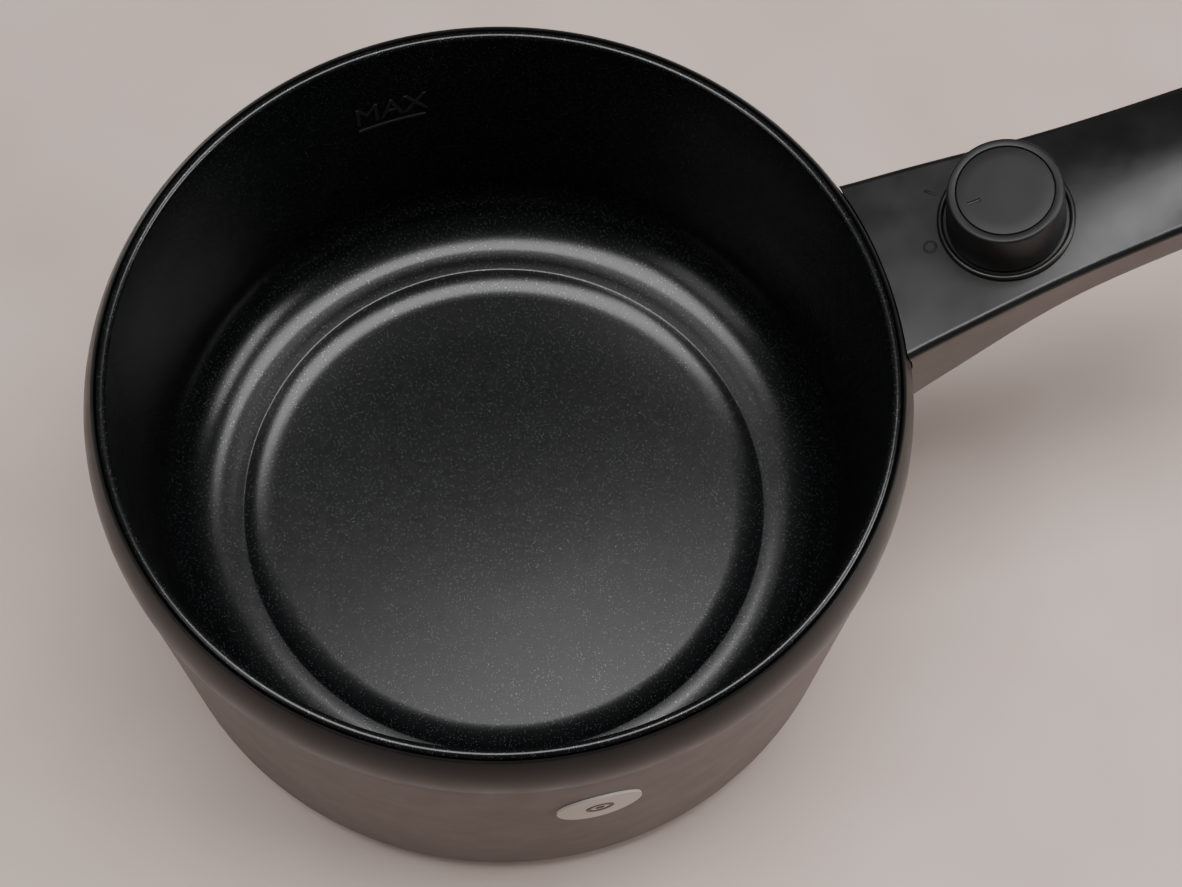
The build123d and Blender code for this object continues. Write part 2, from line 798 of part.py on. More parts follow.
def inlet_pins():
    x1 = inlet_front_x - inlet_pin_in
    half_t, half_w = inlet_pin_t / 2, inlet_pin_w / 2
    pins = []
    for y, rise in ((-inlet_pitch, -inlet_pin_drop), (0, inlet_earth_rise), (inlet_pitch, -inlet_pin_drop)):
        z = inlet_z + rise
        pin = block(pin_tail_x, x1, y - half_t, y + half_t, z - half_w, z + half_w)
        tip = pin.faces().sort_by(Axis.X)[-1]
        pins.append(chamfer(tip.edges(), inlet_pin_bevel))
    return pins


def inlet_screws():
    head_x = inlet_front_x + inlet_head_h
    parts = []
    for side in (-1, 1):
        y = side * inlet_screw_y
        shank = along_x(inlet_screw_r, inlet_front_x - inlet_screw_len, inlet_front_x, y, inlet_z)
        head = along_x(inlet_head_r, inlet_front_x, head_x, y, inlet_z)
        slot = Pos(head_x, y, inlet_z) * Box(2 * slot_depth, slot_w, 1.5 * inlet_head_r)
        parts.append(shank + head - slot)
    return parts


# ---- handle ----
class Station:
    """One cross-section of the handle: place along it, half width, and heights of its curves."""
    def __init__(self, at, half, rise, crown, depth):
        self.at = at
        self.half = half
        self.rise = rise          # top of the crown above the handle's plane
        self.crown = crown        # height of the top arc
        self.depth = depth        # underside below the handle's plane


stations = [
    Station(-root_overlap, 26.2, 0.0, 0.25, 40.0),
    Station(0.0, 24.0, 0.0, 0.25, 34.0),
    Station(knob_at, 20.9, 0.1, 0.4, 25.5),
    Station(knob_at + 23.0, 18.9, 0.7, 1.8, 23.0),
    Station(handle_len * 0.55, 17.7, 1.5, 3.3, 22.5),
    Station(handle_len * 0.79, 17.2, 1.8, 3.8, 21.5),
    Station(handle_len - 14.0, 15.6, 1.6, 3.7, 20.0),
    Station(handle_len - 4.5, 11.4, 0.9, 3.2, 17.0),
    Station(handle_len, 6.0, 0.0, 2.4, 13.5),
]


def handle_section(s, inset=0.0):
    """Closed outline of one station, drawn inwards by a wall thickness."""
    half = s.half - inset
    rise = s.rise - inset
    edge = rise - s.crown
    side = edge - shoulder
    low = -s.depth + inset
    r = min(handle_floor_r, half * 0.7)
    foot = half * foot_share
    k = r * (1 - sqrt(0.5))
    c = shoulder * (1 - sqrt(0.5))
    curve = Curve() + [
        Line((-foot + r, low), (foot - r, low)),
        ThreePointArc((foot - r, low), (foot - k, low + k), (foot, low + r)),
        Line((foot, low + r), (half, side)),
        ThreePointArc((half, side), (half - c, edge - c), (half - shoulder, edge)),
        ThreePointArc((half - shoulder, edge), (0, rise), (-half + shoulder, edge)),
        ThreePointArc((-half + shoulder, edge), (-half + c, edge - c), (-half, side)),
        Line((-half, side), (-foot, low + r)),
        ThreePointArc((-foot, low + r), (-foot + k, low + k), (-foot + r, low)),
    ]
    return Plane(origin=(s.at, 0, 0), x_dir=(0, 1, 0), z_dir=(1, 0, 0)) * make_face(curve)


def handle_blank():
    return loft([handle_section(s) for s in stations])


def handle_hollow(wall):
    """The space inside the handle, pulled back from its rounded end by the wall."""
    near_end = 30.0
    pulled = [Station(s.at - 2 * wall * max(0.0, (s.at - handle_len + near_end) / near_end),
                      s.half, s.rise, s.crown, s.depth) for s in stations]
    return loft([handle_section(s, wall) for s in pulled])


def depth_at(x):
    """Underside depth between two stations."""
    for one, two in zip(stations, stations[1:]):
        if one.at <= x <= two.at:
            return one.depth + (two.depth - one.depth) * (x - one.at) / (two.at - one.at)


far = 2 * handle_len             # beyond every side of the handle


def above_parting():
    return block(-far, far, -far, far, -parting, far)


def below_parting():
    return block(-far, far, -far, far, -far, -parting)


def body_clearance():
    """Everything inside the shell and the rim ring, grown by the root gap beside the ring."""
    grown = ring_arc_r + root_gap
    low = (ring_arc_r_at(ring_low_z) + root_gap, ring_low_z)
    high_z = ring_arc_centre_z + sqrt(grown ** 2 - (pan_top_r - ring_arc_centre_r) ** 2)
    wall_z = corner_top_z + 1
    face = outline(
        Line((0, wall_z), (shell_r_at(wall_z), wall_z)),
        Line((shell_r_at(wall_z), wall_z), (shell_top_r, shell_top_z)),
        Line((shell_top_r, shell_top_z), low),
        ThreePointArc(low, ring_bulge(root_gap), (pan_top_r, high_z)),
        Line((pan_top_r, high_z), (pan_top_r, far)),
        Line((pan_top_r, far), (0, far)),
        Line((0, far), (0, wall_z)),
    )
    return turned(face)


cover_screw_at = (knob_at + first_screw_at, handle_len - screw_from_end)


def handle_cover():
    shell = (handle_blank() & above_parting()) - handle_hollow(handle_wall)
    boss_h = -head_gap - screw_boss_low
    for x in cover_screw_at:
        shell = shell + rod(cover_boss_r, boss_h, x, 0, screw_boss_low)
        shell = shell - rod(handle_screw_r + handle_screw_fit, screw_bite + 1.0, x, 0, screw_boss_low)
    shell = shell - rod(neck_r + plate_hole_gap, 2 * neck_r, knob_at, 0, -neck_r)
    return (handle_pos * shell) - body_clearance()


def handle_base():
    shell = (handle_blank() & below_parting()) - handle_hollow(handle_wall)
    for x in cover_screw_at:
        seat = screw_seat - depth_at(x)
        low = handle_wall / 2 - depth_at(x)
        shell = shell + rod(base_post_r, screw_boss_low - post_gap - low, x, 0, low)
        shell = shell - rod(handle_screw_r + 2 * post_gap, far, x, 0, -far)
        shell = shell - rod(handle_head_r + head_gap, far, x, 0, seat - far)
    return (handle_pos * shell) - body_clearance()


def handle_screws():
    parts = []
    for x in cover_screw_at:
        seat = screw_seat - depth_at(x)
        head = rod(handle_head_r, handle_head_h, x, 0, seat - handle_head_h)
        shank = rod(handle_screw_r, screw_boss_low + screw_bite - seat, x, 0, seat)
        slot = Pos(x, 0, seat - handle_head_h) * Box(1.4 * handle_head_r, slot_w, 2 * slot_depth)
        parts.append(handle_pos * (head + shank - slot))
    return parts


def handle_bracket():
    """Steel plate against the shell with two arms along the handle."""
    x0 = shell_top_r
    x1 = x0 + arm_plate_t
    top = shell_top_z - arm_plate_drop
    plate = block(x0, x1, -arm_half_w, arm_half_w, top - arm_plate_h, top)
    plate = plate - block(x0, x1, -slot_half - 1, slot_half + 1, slot_z0, slot_z1 + head_gap)
    over = block(x0, far, -far, far, 0, top)
    for side in (-1, 1):
        y0, y1 = sorted((side * (arm_half_w - arm_t), side * arm_half_w))
        arm = handle_pos * block(-arm_len, arm_len, y0, y1, arm_low, arm_top)
        plate = plate + (arm & over)
        plate = plate - along_x(bolt_r + bolt_hole_gap, x0 - 1, x1 + 1, side * bolt_y, bolt_z)
    return plate


def handle_bolts():
    """Bolts from inside the shell's wall, their heads against its curve."""
    wall_in_r = shell_r_at(bolt_z) - shell_wall
    inner = sqrt(wall_in_r ** 2 - (bolt_y + bolt_head_r) ** 2) - seal_gap
    outer = shell_top_r + arm_plate_t + bolt_nut_h + bolt_over
    parts = []
    for side in (-1, 1):
        shank = along_x(bolt_r, inner, outer, side * bolt_y, bolt_z)
        parts.append(shank + along_x(bolt_head_r, inner - bolt_head_h, inner, side * bolt_y, bolt_z))
    return parts


def handle_nuts():
    nut = extrude(RegularPolygon(bolt_nut_af / 2, 6, major_radius=False), bolt_nut_h)
    nut = nut - rod(bolt_r, bolt_nut_h)
    return [Pos(shell_top_r + arm_plate_t, side * bolt_y, bolt_z) * Rot(0, 90, 0) * nut for side in (-1, 1)]


# ---- knob ----
def about_knob(profile):
    """Revolve a (radius, height) outline about the knob's axis, in the part's frame."""
    return handle_pos * (Pos(knob_at, 0, 0) * revolve(Plane.XZ * profile, Axis.Z))


def knob():
    roof = knob_top - knob_roof
    seat = knob_top - disc_t
    small = knob_edge_r / 4
    face = polygon(
        (0, hub_bottom), (hub_r, hub_bottom), (hub_r, roof), (knob_r - knob_wall, roof),
        (knob_base_r - knob_wall, knob_bottom), (knob_base_r, knob_bottom),
        (knob_r, knob_top - knob_edge_r), (knob_r - small, knob_top - small),
        (knob_r - knob_edge_r, knob_top), (disc_r + disc_gap, knob_top), (disc_r + disc_gap, seat), (0, seat))
    bore = handle_pos * d_shaft(0, shaft_top + shaft_end_gap)
    return about_knob(face) - bore - knob_clip()


def d_shaft(z0, z1):
    """The switch's round shaft with its one flat, in the handle's frame."""
    side = 2 * shaft_r
    flat = block(knob_at - side, knob_at + side, shaft_r - shaft_flat, side, shaft_flat_low, z1)
    return rod(shaft_r, z1 - z0, knob_at, 0, z0) - flat


def knob_disc():
    seat = knob_top - disc_t
    face = polygon((0, seat), (disc_r, seat), (disc_r, knob_top - disc_bevel),
                   (disc_r - disc_bevel, knob_top), (0, knob_top))
    half = pointer_w / 2
    low = knob_top - pointer_depth
    pointer = block(knob_at - pointer_out, knob_at - pointer_in, -half, half, low, knob_top)
    return about_knob(face) - handle_pos * pointer


def knob_collar():
    mid = (collar_in_r + collar_out_r) / 2
    edge = collar_h / 2
    face = outline(
        Line((collar_in_r, 0), (collar_out_r, 0)),
        Line((collar_out_r, 0), (collar_out_r, edge)),
        ThreePointArc((collar_out_r, edge), (mid, collar_h), (collar_in_r, edge)),
        Line((collar_in_r, edge), (collar_in_r, 0)),
    )
    return about_knob(face) - handle_pos * handle_blank()


# ---- switch ----
switch_low = -switch_top - switch_depth
cavity_top = -switch_top - switch_wall
cavity_low = switch_low + switch_wall
rotor_low = cavity_low + rotor_gap
rotor_mid = rotor_low + rotor_h / 2
terminal_z = rotor_low + terminal_rise


def switch_block(z0, z1):
    side = switch_half
    return block(knob_at - side, knob_at + side, -side, side, z0, z1)


def switch_body():
    body = switch_block(switch_low, cavity_top)
    body = body - rod(rotor_r + rotor_room, switch_depth, knob_at, 0, cavity_low)
    body = body - rod(shaft_r + running_gap, switch_depth, knob_at, 0, switch_low + shaft_sink - running_gap)
    pocket_y = -rotor_r - pocket_out
    pocket = along_y(pocket_r, knob_at, pocket_y - pocket_len / 2, pocket_y + pocket_len / 2, rotor_mid)
    return handle_pos * (less(body, terminals_on_handle()) - pocket)


def switch_lid():
    lid = switch_block(cavity_top, -switch_top)
    neck = rod(neck_r, switch_top + neck_over, knob_at, 0, -switch_top)
    bore = rod(shaft_r + running_gap, 2 * switch_depth, knob_at, 0, -switch_depth)
    return handle_pos * (lid + neck - bore)


def switch_shaft():
    return handle_pos * d_shaft(switch_low + shaft_sink, shaft_top)


def switch_rotor():
    """Drum on the shaft, with a notch for each of the three positions."""
    rotor = rod(rotor_r, rotor_h, knob_at, 0, rotor_low) - rod(shaft_r, rotor_h, knob_at, 0, rotor_low)
    for position in range(3):
        x, y = polar(rotor_r + notch_out, 270 + position * turn_step)
        rotor = rotor - rod(notch_r, rotor_h, knob_at + x, y, rotor_low)
    return handle_pos * rotor


def terminals_on_handle():
    near, far_side = knob_at - switch_half, knob_at + switch_half
    half = terminal_w / 2
    z0, z1 = terminal_z, terminal_z + blade_t
    blades = [block(near - terminal_len, near + terminal_sink, y - half, y + half, z0, z1)
              for y in (-terminal_y, terminal_y)]
    blades.append(block(far_side - terminal_sink, far_side + terminal_len, -half, half, z0, z1))
    return blades


def switch_terminals():
    return [handle_pos * blade for blade in terminals_on_handle()]


def switch_nut():
    nut = extrude(Pos(knob_at, 0, plate_hole_gap) * RegularPolygon(switch_nut_r, 6), switch_nut_h)
    return handle_pos * (nut - rod(neck_r, switch_nut_h + 1, knob_at, 0, 0) - handle_blank())


def detent_ball():
    return handle_pos * (Pos(knob_at, -rotor_r - ball_out, rotor_mid) * Sphere(ball_r))


def detent_spring():
    """Spring behind the ball, as a plain sleeve of its outer size."""
    y = -rotor_r - spring_out
    y0, y1 = y - spring_len / 2, y + spring_len / 2
    bore = along_y(spring_bore_r, knob_at, y0, y1, rotor_mid)
    return handle_pos * (along_y(spring_r, knob_at, y0, y1, rotor_mid) - bore)


def knob_clip():
    """Spring steel leaf on the shaft's flat, inside the knob's hub."""
    half = knob_clip_w / 2
    y = shaft_r - shaft_flat
    leaf = block(knob_at - half, knob_at + half, y, y + knob_clip_t, knob_clip_low, knob_clip_high)
    return handle_pos * leaf


# ---- diode and leads in the handle ----
diode_at = knob_at + diode_after
diode_n = terminal_z + blade_t + lead_over_terminal - 0.1
lead_n = terminal_z + lead_over_terminal


def power_diode():
    body = along_x(diode_r, diode_at - diode_len / 2, diode_at + diode_len / 2, 0, diode_n)
    return handle_pos * (body + along_x(diode_wire_r, diode_at - 7.0, diode_at + diode_wire, 0, diode_n))


def beside_pan(y, z):
    """A point of a lead that rises just outside the pan."""
    return (pan_outer_r(z) + lead_r + lead_clear, y, z)


def riser(side):
    """Points of a lead from beside the inlet up between pan and shell, then out to the switch."""
    y = side * lead_y
    slot_z = (slot_z0 + slot_z1) / 2 + 1.4
    return [beside_pan(y, inlet_z + 9.5), beside_pan(y, inlet_z + 14.6), beside_pan(y, inlet_z + 25.0),
            beside_pan(y, slot_z0), (shell_r_at(slot_z) - lead_r, y, slot_z),
            (shell_top_r + 5.4, y, shell_top_z - 11.1), on_handle(7.0, side * terminal_y, lead_n),
            on_handle(knob_at - switch_half - terminal_len, side * terminal_y, lead_n)]


outer_pin_z = inlet_z - inlet_pin_drop


def live_lead():
    """From the inlet's live pin up to the switch."""
    x = pin_tail_x + 2.8
    start = [(x, -inlet_pitch + 1.0, outer_pin_z), (x, -lead_y, outer_pin_z),
             (x + 0.1, -lead_y, inlet_z + 6.0)]
    return tube_along(start + riser(-1), [1.2, 2.5, 3, 6, 12, 8, 8, 5, 2], lead_r)


def switched_lead():
    """From the thermostat across the base and up to the switch."""
    z = blade_mid_z
    y = blade_end - 3.5
    start = [(blade_w / 2, y, z), (8.0, y, z), (stud_circle_r - 4.0, y - 1.1, z - 0.2),
             (plate_r - 2.0, 5.0, z - 0.5), (pin_tail_x - 4.0, lead_y, z + 0.1),
             (pin_tail_x + 2.0, lead_y, inlet_z)]
    return tube_along(start + riser(1), [20, 20, 25, 8, 6, 6, 6, 12, 8, 8, 5, 2], lead_r)


def neutral_lead():
    """From the inlet's neutral pin round to the fuse."""
    far_y = fuse_y1 + 9.0
    pts = [(pin_tail_x, inlet_pitch, outer_pin_z), (pin_tail_x - 4.0, inlet_pitch, outer_pin_z),
           (shield_r + 3.0, 16.0, outer_pin_z - 1.7), (shield_r + 1.0, far_y - 4.5, fuse_z),
           (fuse_x, far_y, fuse_z), (fuse_x, fuse_y1 + fuse_end_in, fuse_z)]
    return tube_along(pts, [4, 10, 4, 3], lead_r)


def element_leads():
    """Fuse to the element's near pin, and thermostat to its other pin."""
    out = [tube_end(side).z_dir for side in (1, -1)]
    tip = [tube_end(side).origin + tube_end(side).z_dir * (bead_len + pin_len) for side in (1, -1)]
    from_fuse = [(fuse_x, fuse_y0 - fuse_end_in, fuse_z), (fuse_x - 0.5, 5.5, fuse_z),
                 (plate_r - 3.0, 3.6, fuse_z - 0.8), tuple(tip[0] + out[0] * 3.6), tuple(tip[0])]
    y = blade_end - 3.5
    z = blade_mid_z
    from_thermostat = [(blade_w / 2, -y, z), (8.0, -y, z), (stud_circle_r - 10.0, -9.5, z + 0.1),
                       (tube_ring_r - 5.0, -3.6, z + 0.5), tuple(tip[1] + out[1] * 4.0), tuple(tip[1])]
    return [tube_along(from_fuse, [3, 5, 2], lead_r), tube_along(from_thermostat, [8, 12, 5, 1.6], lead_r)]


def earth_lead():
    """From the inlet's earth pin to the tag on the plate."""
    pin_z = inlet_z + inlet_earth_rise
    tag_x = earth_x + earth_tail
    tag_z = plate_z - lead_r - 0.1
    pts = [(pin_tail_x, 0, pin_z), (pin_tail_x - 4.0, 0, pin_z), (plate_r + 4.0, 0, fuse_z - 1.0),
           (tag_x + 8.5, 0, fuse_z - 2.0), (tag_x + 4.5, 0, tag_z), (tag_x, 0, tag_z)]
    return tube_along(pts, [8, 12, 3, 3], lead_r)


def bridge_lead():
    """From the diode back round the switch to its other terminal."""
    end = diode_at + diode_wire
    near = knob_at - switch_half
    pts = [on_handle(end, 0, diode_n), on_handle(end + 3.0, 0, diode_n), on_handle(end + 0.5, 10, lead_n),
           on_handle(diode_at - 5.0, 13.6, lead_n), on_handle(near + 4.0, 14.2, lead_n),
           on_handle(near - 2.5, 13, lead_n), on_handle(near - 2.5, terminal_y + 2.0, lead_n)]
    return tube_along(pts, [2, 5, 9, 5, 2.5], lead_r)


parts = {
    "inner_pan": inner_pan,
    "rim_ring": rim_ring,
    "rim_seal": rim_seal,
    "outer_shell": outer_shell,
    "badge": badge,
    "base_cover": base_cover,
    "base_screws": base_screws,
    "foot_ring": foot_ring,
    "heat_plate": heat_plate,
    "heating_element": lambda: tube_torus(tube_r),
    "element_beads": element_beads,
    "element_pins": element_pins,
    "pan_studs": pan_studs,
    "stud_spacers": stud_spacers,
    "stud_nuts": stud_nuts,
    "heat_shield": heat_shield,
    "thermostat_body": thermostat_body,
    "thermostat_blades": thermostat_blades,
    "thermostat_cap": thermostat_cap,
    "thermostat_bracket": thermostat_bracket,
    "thermal_fuse": thermal_fuse,
    "fuse_sleeve": fuse_sleeve,
    "fuse_clip": fuse_clip,
    "earth_tag": earth_tag,
    "earth_screw": earth_screw,
    "inlet_housing": inlet_housing,
    "inlet_pins": inlet_pins,
    "inlet_screws": inlet_screws,
    "handle_cover": handle_cover,
    "handle_base": handle_base,
    "handle_screws": handle_screws,
    "handle_bracket": handle_bracket,
    "handle_bolts": handle_bolts,
    "handle_nuts": handle_nuts,
    "knob": knob,
    "knob_disc": knob_disc,
    "knob_collar": knob_collar,
    "knob_clip": knob_clip,
    "switch_body": switch_body,
    "switch_lid": switch_lid,
    "switch_shaft": switch_shaft,
    "switch_rotor": switch_rotor,
    "switch_terminals": switch_terminals,
    "switch_nut": switch_nut,
    "detent_ball": detent_ball,
    "detent_spring": detent_spring,
    "power_diode": power_diode,
    "live_lead": live_lead,
    "switched_lead": switched_lead,
    "neutral_lead": neutral_lead,
    "element_leads": element_leads,
    "earth_lead": earth_lead,
    "bridge_lead": bridge_lead,
}

os.makedirs("parts", exist_ok=True)
for name, make in parts.items():
    shape = make()
    if isinstance(shape, list):
        shape = Compound(children=list(shape))
    export_step(shape, f"parts/{name}.step")
    print(name, round(shape.volume, 1), len(shape.solids()))
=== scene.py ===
# %% [markdown]
# # An electric saucepan, dressed in Blender
# The working parts of this pot were designed first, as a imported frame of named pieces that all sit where
# they belong. This lesson loads that frame and gives it its looks: turned and moulded skins where the eye
# goes, and a finish with real grain for every piece. Sizes are in millimetres and become metres once.

# %% Load the frame
import json
from math import acos, asin, atan2, cos, degrees, pi, radians, sin
import bmesh
import bpy
from mathutils import Matrix, Vector


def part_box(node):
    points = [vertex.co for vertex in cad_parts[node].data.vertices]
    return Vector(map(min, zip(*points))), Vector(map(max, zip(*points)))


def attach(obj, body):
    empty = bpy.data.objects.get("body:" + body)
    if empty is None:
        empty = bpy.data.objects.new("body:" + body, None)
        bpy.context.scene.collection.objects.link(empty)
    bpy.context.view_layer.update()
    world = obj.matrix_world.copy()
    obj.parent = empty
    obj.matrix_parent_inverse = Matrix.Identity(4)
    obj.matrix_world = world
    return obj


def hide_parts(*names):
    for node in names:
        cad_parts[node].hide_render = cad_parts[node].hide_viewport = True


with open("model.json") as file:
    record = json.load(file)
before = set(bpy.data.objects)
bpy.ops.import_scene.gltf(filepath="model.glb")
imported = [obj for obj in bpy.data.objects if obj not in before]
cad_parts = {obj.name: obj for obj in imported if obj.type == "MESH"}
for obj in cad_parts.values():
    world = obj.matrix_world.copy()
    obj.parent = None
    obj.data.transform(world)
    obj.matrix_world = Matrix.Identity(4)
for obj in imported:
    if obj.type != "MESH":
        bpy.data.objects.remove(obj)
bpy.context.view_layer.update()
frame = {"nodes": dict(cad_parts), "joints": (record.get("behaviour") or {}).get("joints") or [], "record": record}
nodes = frame["nodes"]

# %% Millimetres to metres, and a clear selection
MM = 0.001


def clear_selection():
    """Leave edit mode with nothing selected, so the next operator touches only what it makes."""
    if bpy.context.mode != "OBJECT":
        bpy.ops.object.mode_set(mode="OBJECT")
    bpy.ops.object.select_all(action="DESELECT")


clear_selection()

# %% [markdown]
# ## The camera
# The pot is seen from above and in front, as a cook sees it, with the handle running off to the right.
# A long lens keeps the rim nearly round. The eye, the point looked at and a small roll fix the view.

# %% Camera
eye = Vector((-51.79, -197.85, 531.31)) * MM
aim = Vector((14.22, -25.46, 110.0)) * MM
roll = radians(-4.24)
lens_mm = 60.72


def place_camera():
    forward = (aim - eye).normalized()
    level = forward.cross(Vector((0, 0, 1))).normalized()
    down = forward.cross(level)
    side = level * cos(roll) + down * sin(roll)
    below = down * cos(roll) - level * sin(roll)
    data = bpy.data.cameras.new("camera")
    data.lens = lens_mm
    data.sensor_width = 36
    data.clip_start = 0.01
    camera = bpy.data.objects.new("camera", data)
    bpy.context.scene.collection.objects.link(camera)
    facing = Matrix((side, -below, -forward)).transposed().to_4x4()
    camera.matrix_world = Matrix.Translation(eye) @ facing
    bpy.context.scene.camera = camera


place_camera()

# %% [markdown]
# ## The light
# Black plastic has almost no colour of its own: what shows is the shape of the lamps in it. One broad soft
# box hangs overhead, a weaker one stands at each side, and a dim even sky fills the rest.

# %% Lamps and sky
def soft_box(name, place, look_at, width, depth, power):
    """A rectangular lamp; its places and sides are in metres and its power is in watts."""
    data = bpy.data.lights.new(name, "AREA")
    data.shape = "RECTANGLE"
    data.size = width
    data.size_y = depth
    data.energy = power
    lamp = bpy.data.objects.new(name, data)
    bpy.context.scene.collection.objects.link(lamp)
    lamp.location = place
    lamp.rotation_euler = (Vector(look_at) - Vector(place)).to_track_quat("-Z", "Y").to_euler()


soft_box("lamp_overhead", (0.04, 0.03, 1.15), (0.04, 0.03, 0.05), width=1.30, depth=0.50, power=18)
soft_box("lamp_right", (0.95, -0.40, 0.62), (0.05, 0.0, 0.05), width=0.5, depth=0.5, power=6)
soft_box("lamp_left", (-1.0, -0.2, 0.8), (0.0, 0.0, 0.05), width=0.5, depth=0.5, power=1.5)

sky_colour = (0.85, 0.87, 0.9, 1)
sky_strength = 0.08
sky = bpy.data.worlds.new("sky")
sky.use_nodes = True
background = sky.node_tree.nodes["Background"]
background.inputs["Color"].default_value = sky_colour
background.inputs["Strength"].default_value = sky_strength
bpy.context.scene.world = sky

# %% [markdown]
# ## Finishes
# Each finish starts as one shader with its own roughness, and is then worked on by small helpers that add
# what the real surface has: a moulded grain, a slow drift in colour, flecks or brushed lines. All patterns
# are read from Object coordinates, so they stay on the piece and keep their real size.

# %% Helpers for finishes
def new_finish(name, colour, roughness, metallic=0.0, **sockets):
    """A material whose even values are set straight on the shader."""
    material = bpy.data.materials.new(name)
    material.use_nodes = True
    shader = material.node_tree.nodes["Principled BSDF"]
    shader.inputs["Base Color"].default_value = (*colour, 1)
    shader.inputs["Roughness"].default_value = roughness
    shader.inputs["Metallic"].default_value = metallic
    for socket, value in sockets.items():
        shader.inputs[socket.replace("_", " ")].default_value = value
    return material


def node(material, kind, **values):
    """A new node in the material, with its settings and socket values."""
    made = material.node_tree.nodes.new("ShaderNode" + kind)
    for key, value in values.items():
        if hasattr(made, key):
            setattr(made, key, value)
        else:
            made.inputs[key.replace("_", " ")].default_value = value
    return made


def link(material, out_socket, in_socket):
    material.node_tree.links.new(out_socket, in_socket)


def shader_of(material):
    return material.node_tree.nodes["Principled BSDF"]


def coordinates(material, stretch=(1, 1, 1)):
    """Object coordinates, stretched where a pattern runs in one direction."""
    source = node(material, "TexCoord")
    mapping = node(material, "Mapping")
    mapping.inputs["Scale"].default_value = stretch
    link(material, source.outputs["Object"], mapping.inputs["Vector"])
    return mapping.outputs["Vector"]


def noise_of(material, size_mm, detail=3.0, stretch=(1, 1, 1)):
    """Noise whose blobs are about size_mm across."""
    made = node(material, "TexNoise", Scale=1 / (size_mm * MM), Detail=detail)
    link(material, coordinates(material, stretch), made.inputs["Vector"])
    return made.outputs["Fac"]


def grain(material, size_mm, height_mm, strength=1.0, detail=3.0, stretch=(1, 1, 1)):
    """Raise a fine relief of that size and height, on top of any relief there is already."""
    shader = shader_of(material)
    bump = node(material, "Bump", Strength=strength, Distance=height_mm * MM)
    link(material, noise_of(material, size_mm, detail, stretch), bump.inputs["Height"])
    normal = shader.inputs["Normal"]
    if normal.is_linked:
        link(material, normal.links[0].from_socket, bump.inputs["Normal"])
    link(material, bump.outputs["Normal"], normal)


def ramp(material, value, low, high, low_at=0.35, high_at=0.65):
    """Turn a value into a blend between two colours."""
    made = node(material, "ValToRGB")
    made.color_ramp.elements[0].position = low_at
    made.color_ramp.elements[0].color = (*low, 1)
    made.color_ramp.elements[1].position = high_at
    made.color_ramp.elements[1].color = (*high, 1)
    link(material, value, made.inputs["Fac"])
    return made.outputs["Color"]


def drift(material, low, high, size_mm, detail=2.0, stretch=(1, 1, 1)):
    """Let the colour wander slowly between two near shades."""
    colour = ramp(material, noise_of(material, size_mm, detail, stretch), low, high)
    link(material, colour, shader_of(material).inputs["Base Color"])
    return colour


def uneven_gloss(material, low, high, size_mm, detail=3.0, stretch=(1, 1, 1)):
    """Let the roughness wander, as on a surface that hands and cloths have touched."""
    spread = node(material, "MapRange")
    spread.inputs["From Min"].default_value = 0.35
    spread.inputs["From Max"].default_value = 0.65
    spread.inputs["To Min"].default_value = low
    spread.inputs["To Max"].default_value = high
    link(material, noise_of(material, size_mm, detail, stretch), spread.inputs["Value"])
    link(material, spread.outputs["Result"], shader_of(material).inputs["Roughness"])


# %% Black, charcoal and taupe mouldings
def moulding(name, dark, light, roughness, grain_mm, height_mm, shine=0.5):
    """Moulded plastic: a spark-eroded grain, a slow drift in shade and a slightly uneven gloss."""
    material = new_finish(name, dark, roughness, Specular_IOR_Level=shine)
    drift(material, dark, light, size_mm=18.0)
    uneven_gloss(material, roughness - 0.03, roughness + 0.04, size_mm=9.0)
    grain(material, grain_mm, height_mm)
    return material


finish = {
    "black_plastic": moulding(
        "black_satin", dark=(0.0075, 0.0070, 0.0066), light=(0.0105, 0.0098, 0.0092),
        roughness=0.33, grain_mm=0.35, height_mm=0.003, shine=0.38),
    "black_soft_plastic": moulding(
        "black_handle", dark=(0.006, 0.006, 0.006), light=(0.009, 0.009, 0.009),
        roughness=0.31, grain_mm=0.40, height_mm=0.004, shine=0.36),
    "knob_plastic": moulding(
        "charcoal_knob", dark=(0.010, 0.010, 0.010), light=(0.013, 0.013, 0.013),
        roughness=0.42, grain_mm=0.35, height_mm=0.005, shine=0.27),
    "taupe_plastic": moulding(
        "taupe_body", dark=(0.118, 0.094, 0.086), light=(0.130, 0.104, 0.096),
        roughness=0.55, grain_mm=0.45, height_mm=0.006),
    "black_base_plastic": moulding(
        "black_base", dark=(0.012, 0.012, 0.012), light=(0.017, 0.017, 0.017),
        roughness=0.60, grain_mm=0.60, height_mm=0.010),
    "switch_plastic": moulding(
        "switch_black", dark=(0.035, 0.035, 0.036), light=(0.045, 0.045, 0.046),
        roughness=0.55, grain_mm=0.50, height_mm=0.006),
    "mark": moulding(
        "mark_relief", dark=(0.0035, 0.0035, 0.0035), light=(0.0050, 0.0050, 0.0050),
        roughness=0.50, grain_mm=0.20, height_mm=0.002, shine=0.22),
    "fill_mark": moulding(
        "fill_mark", dark=(0.012, 0.012, 0.012), light=(0.016, 0.016, 0.016),
        roughness=0.45, grain_mm=0.30, height_mm=0.002, shine=0.40),
    "emblem": moulding(
        "badge_emblem", dark=(0.040, 0.035, 0.032), light=(0.050, 0.045, 0.041),
        roughness=0.45, grain_mm=0.30, height_mm=0.003),
    "badge_disc": moulding(
        "badge_beige", dark=(0.56, 0.50, 0.46), light=(0.60, 0.54, 0.50),
        roughness=0.45, grain_mm=0.30, height_mm=0.003),
}
print(sorted(finish))

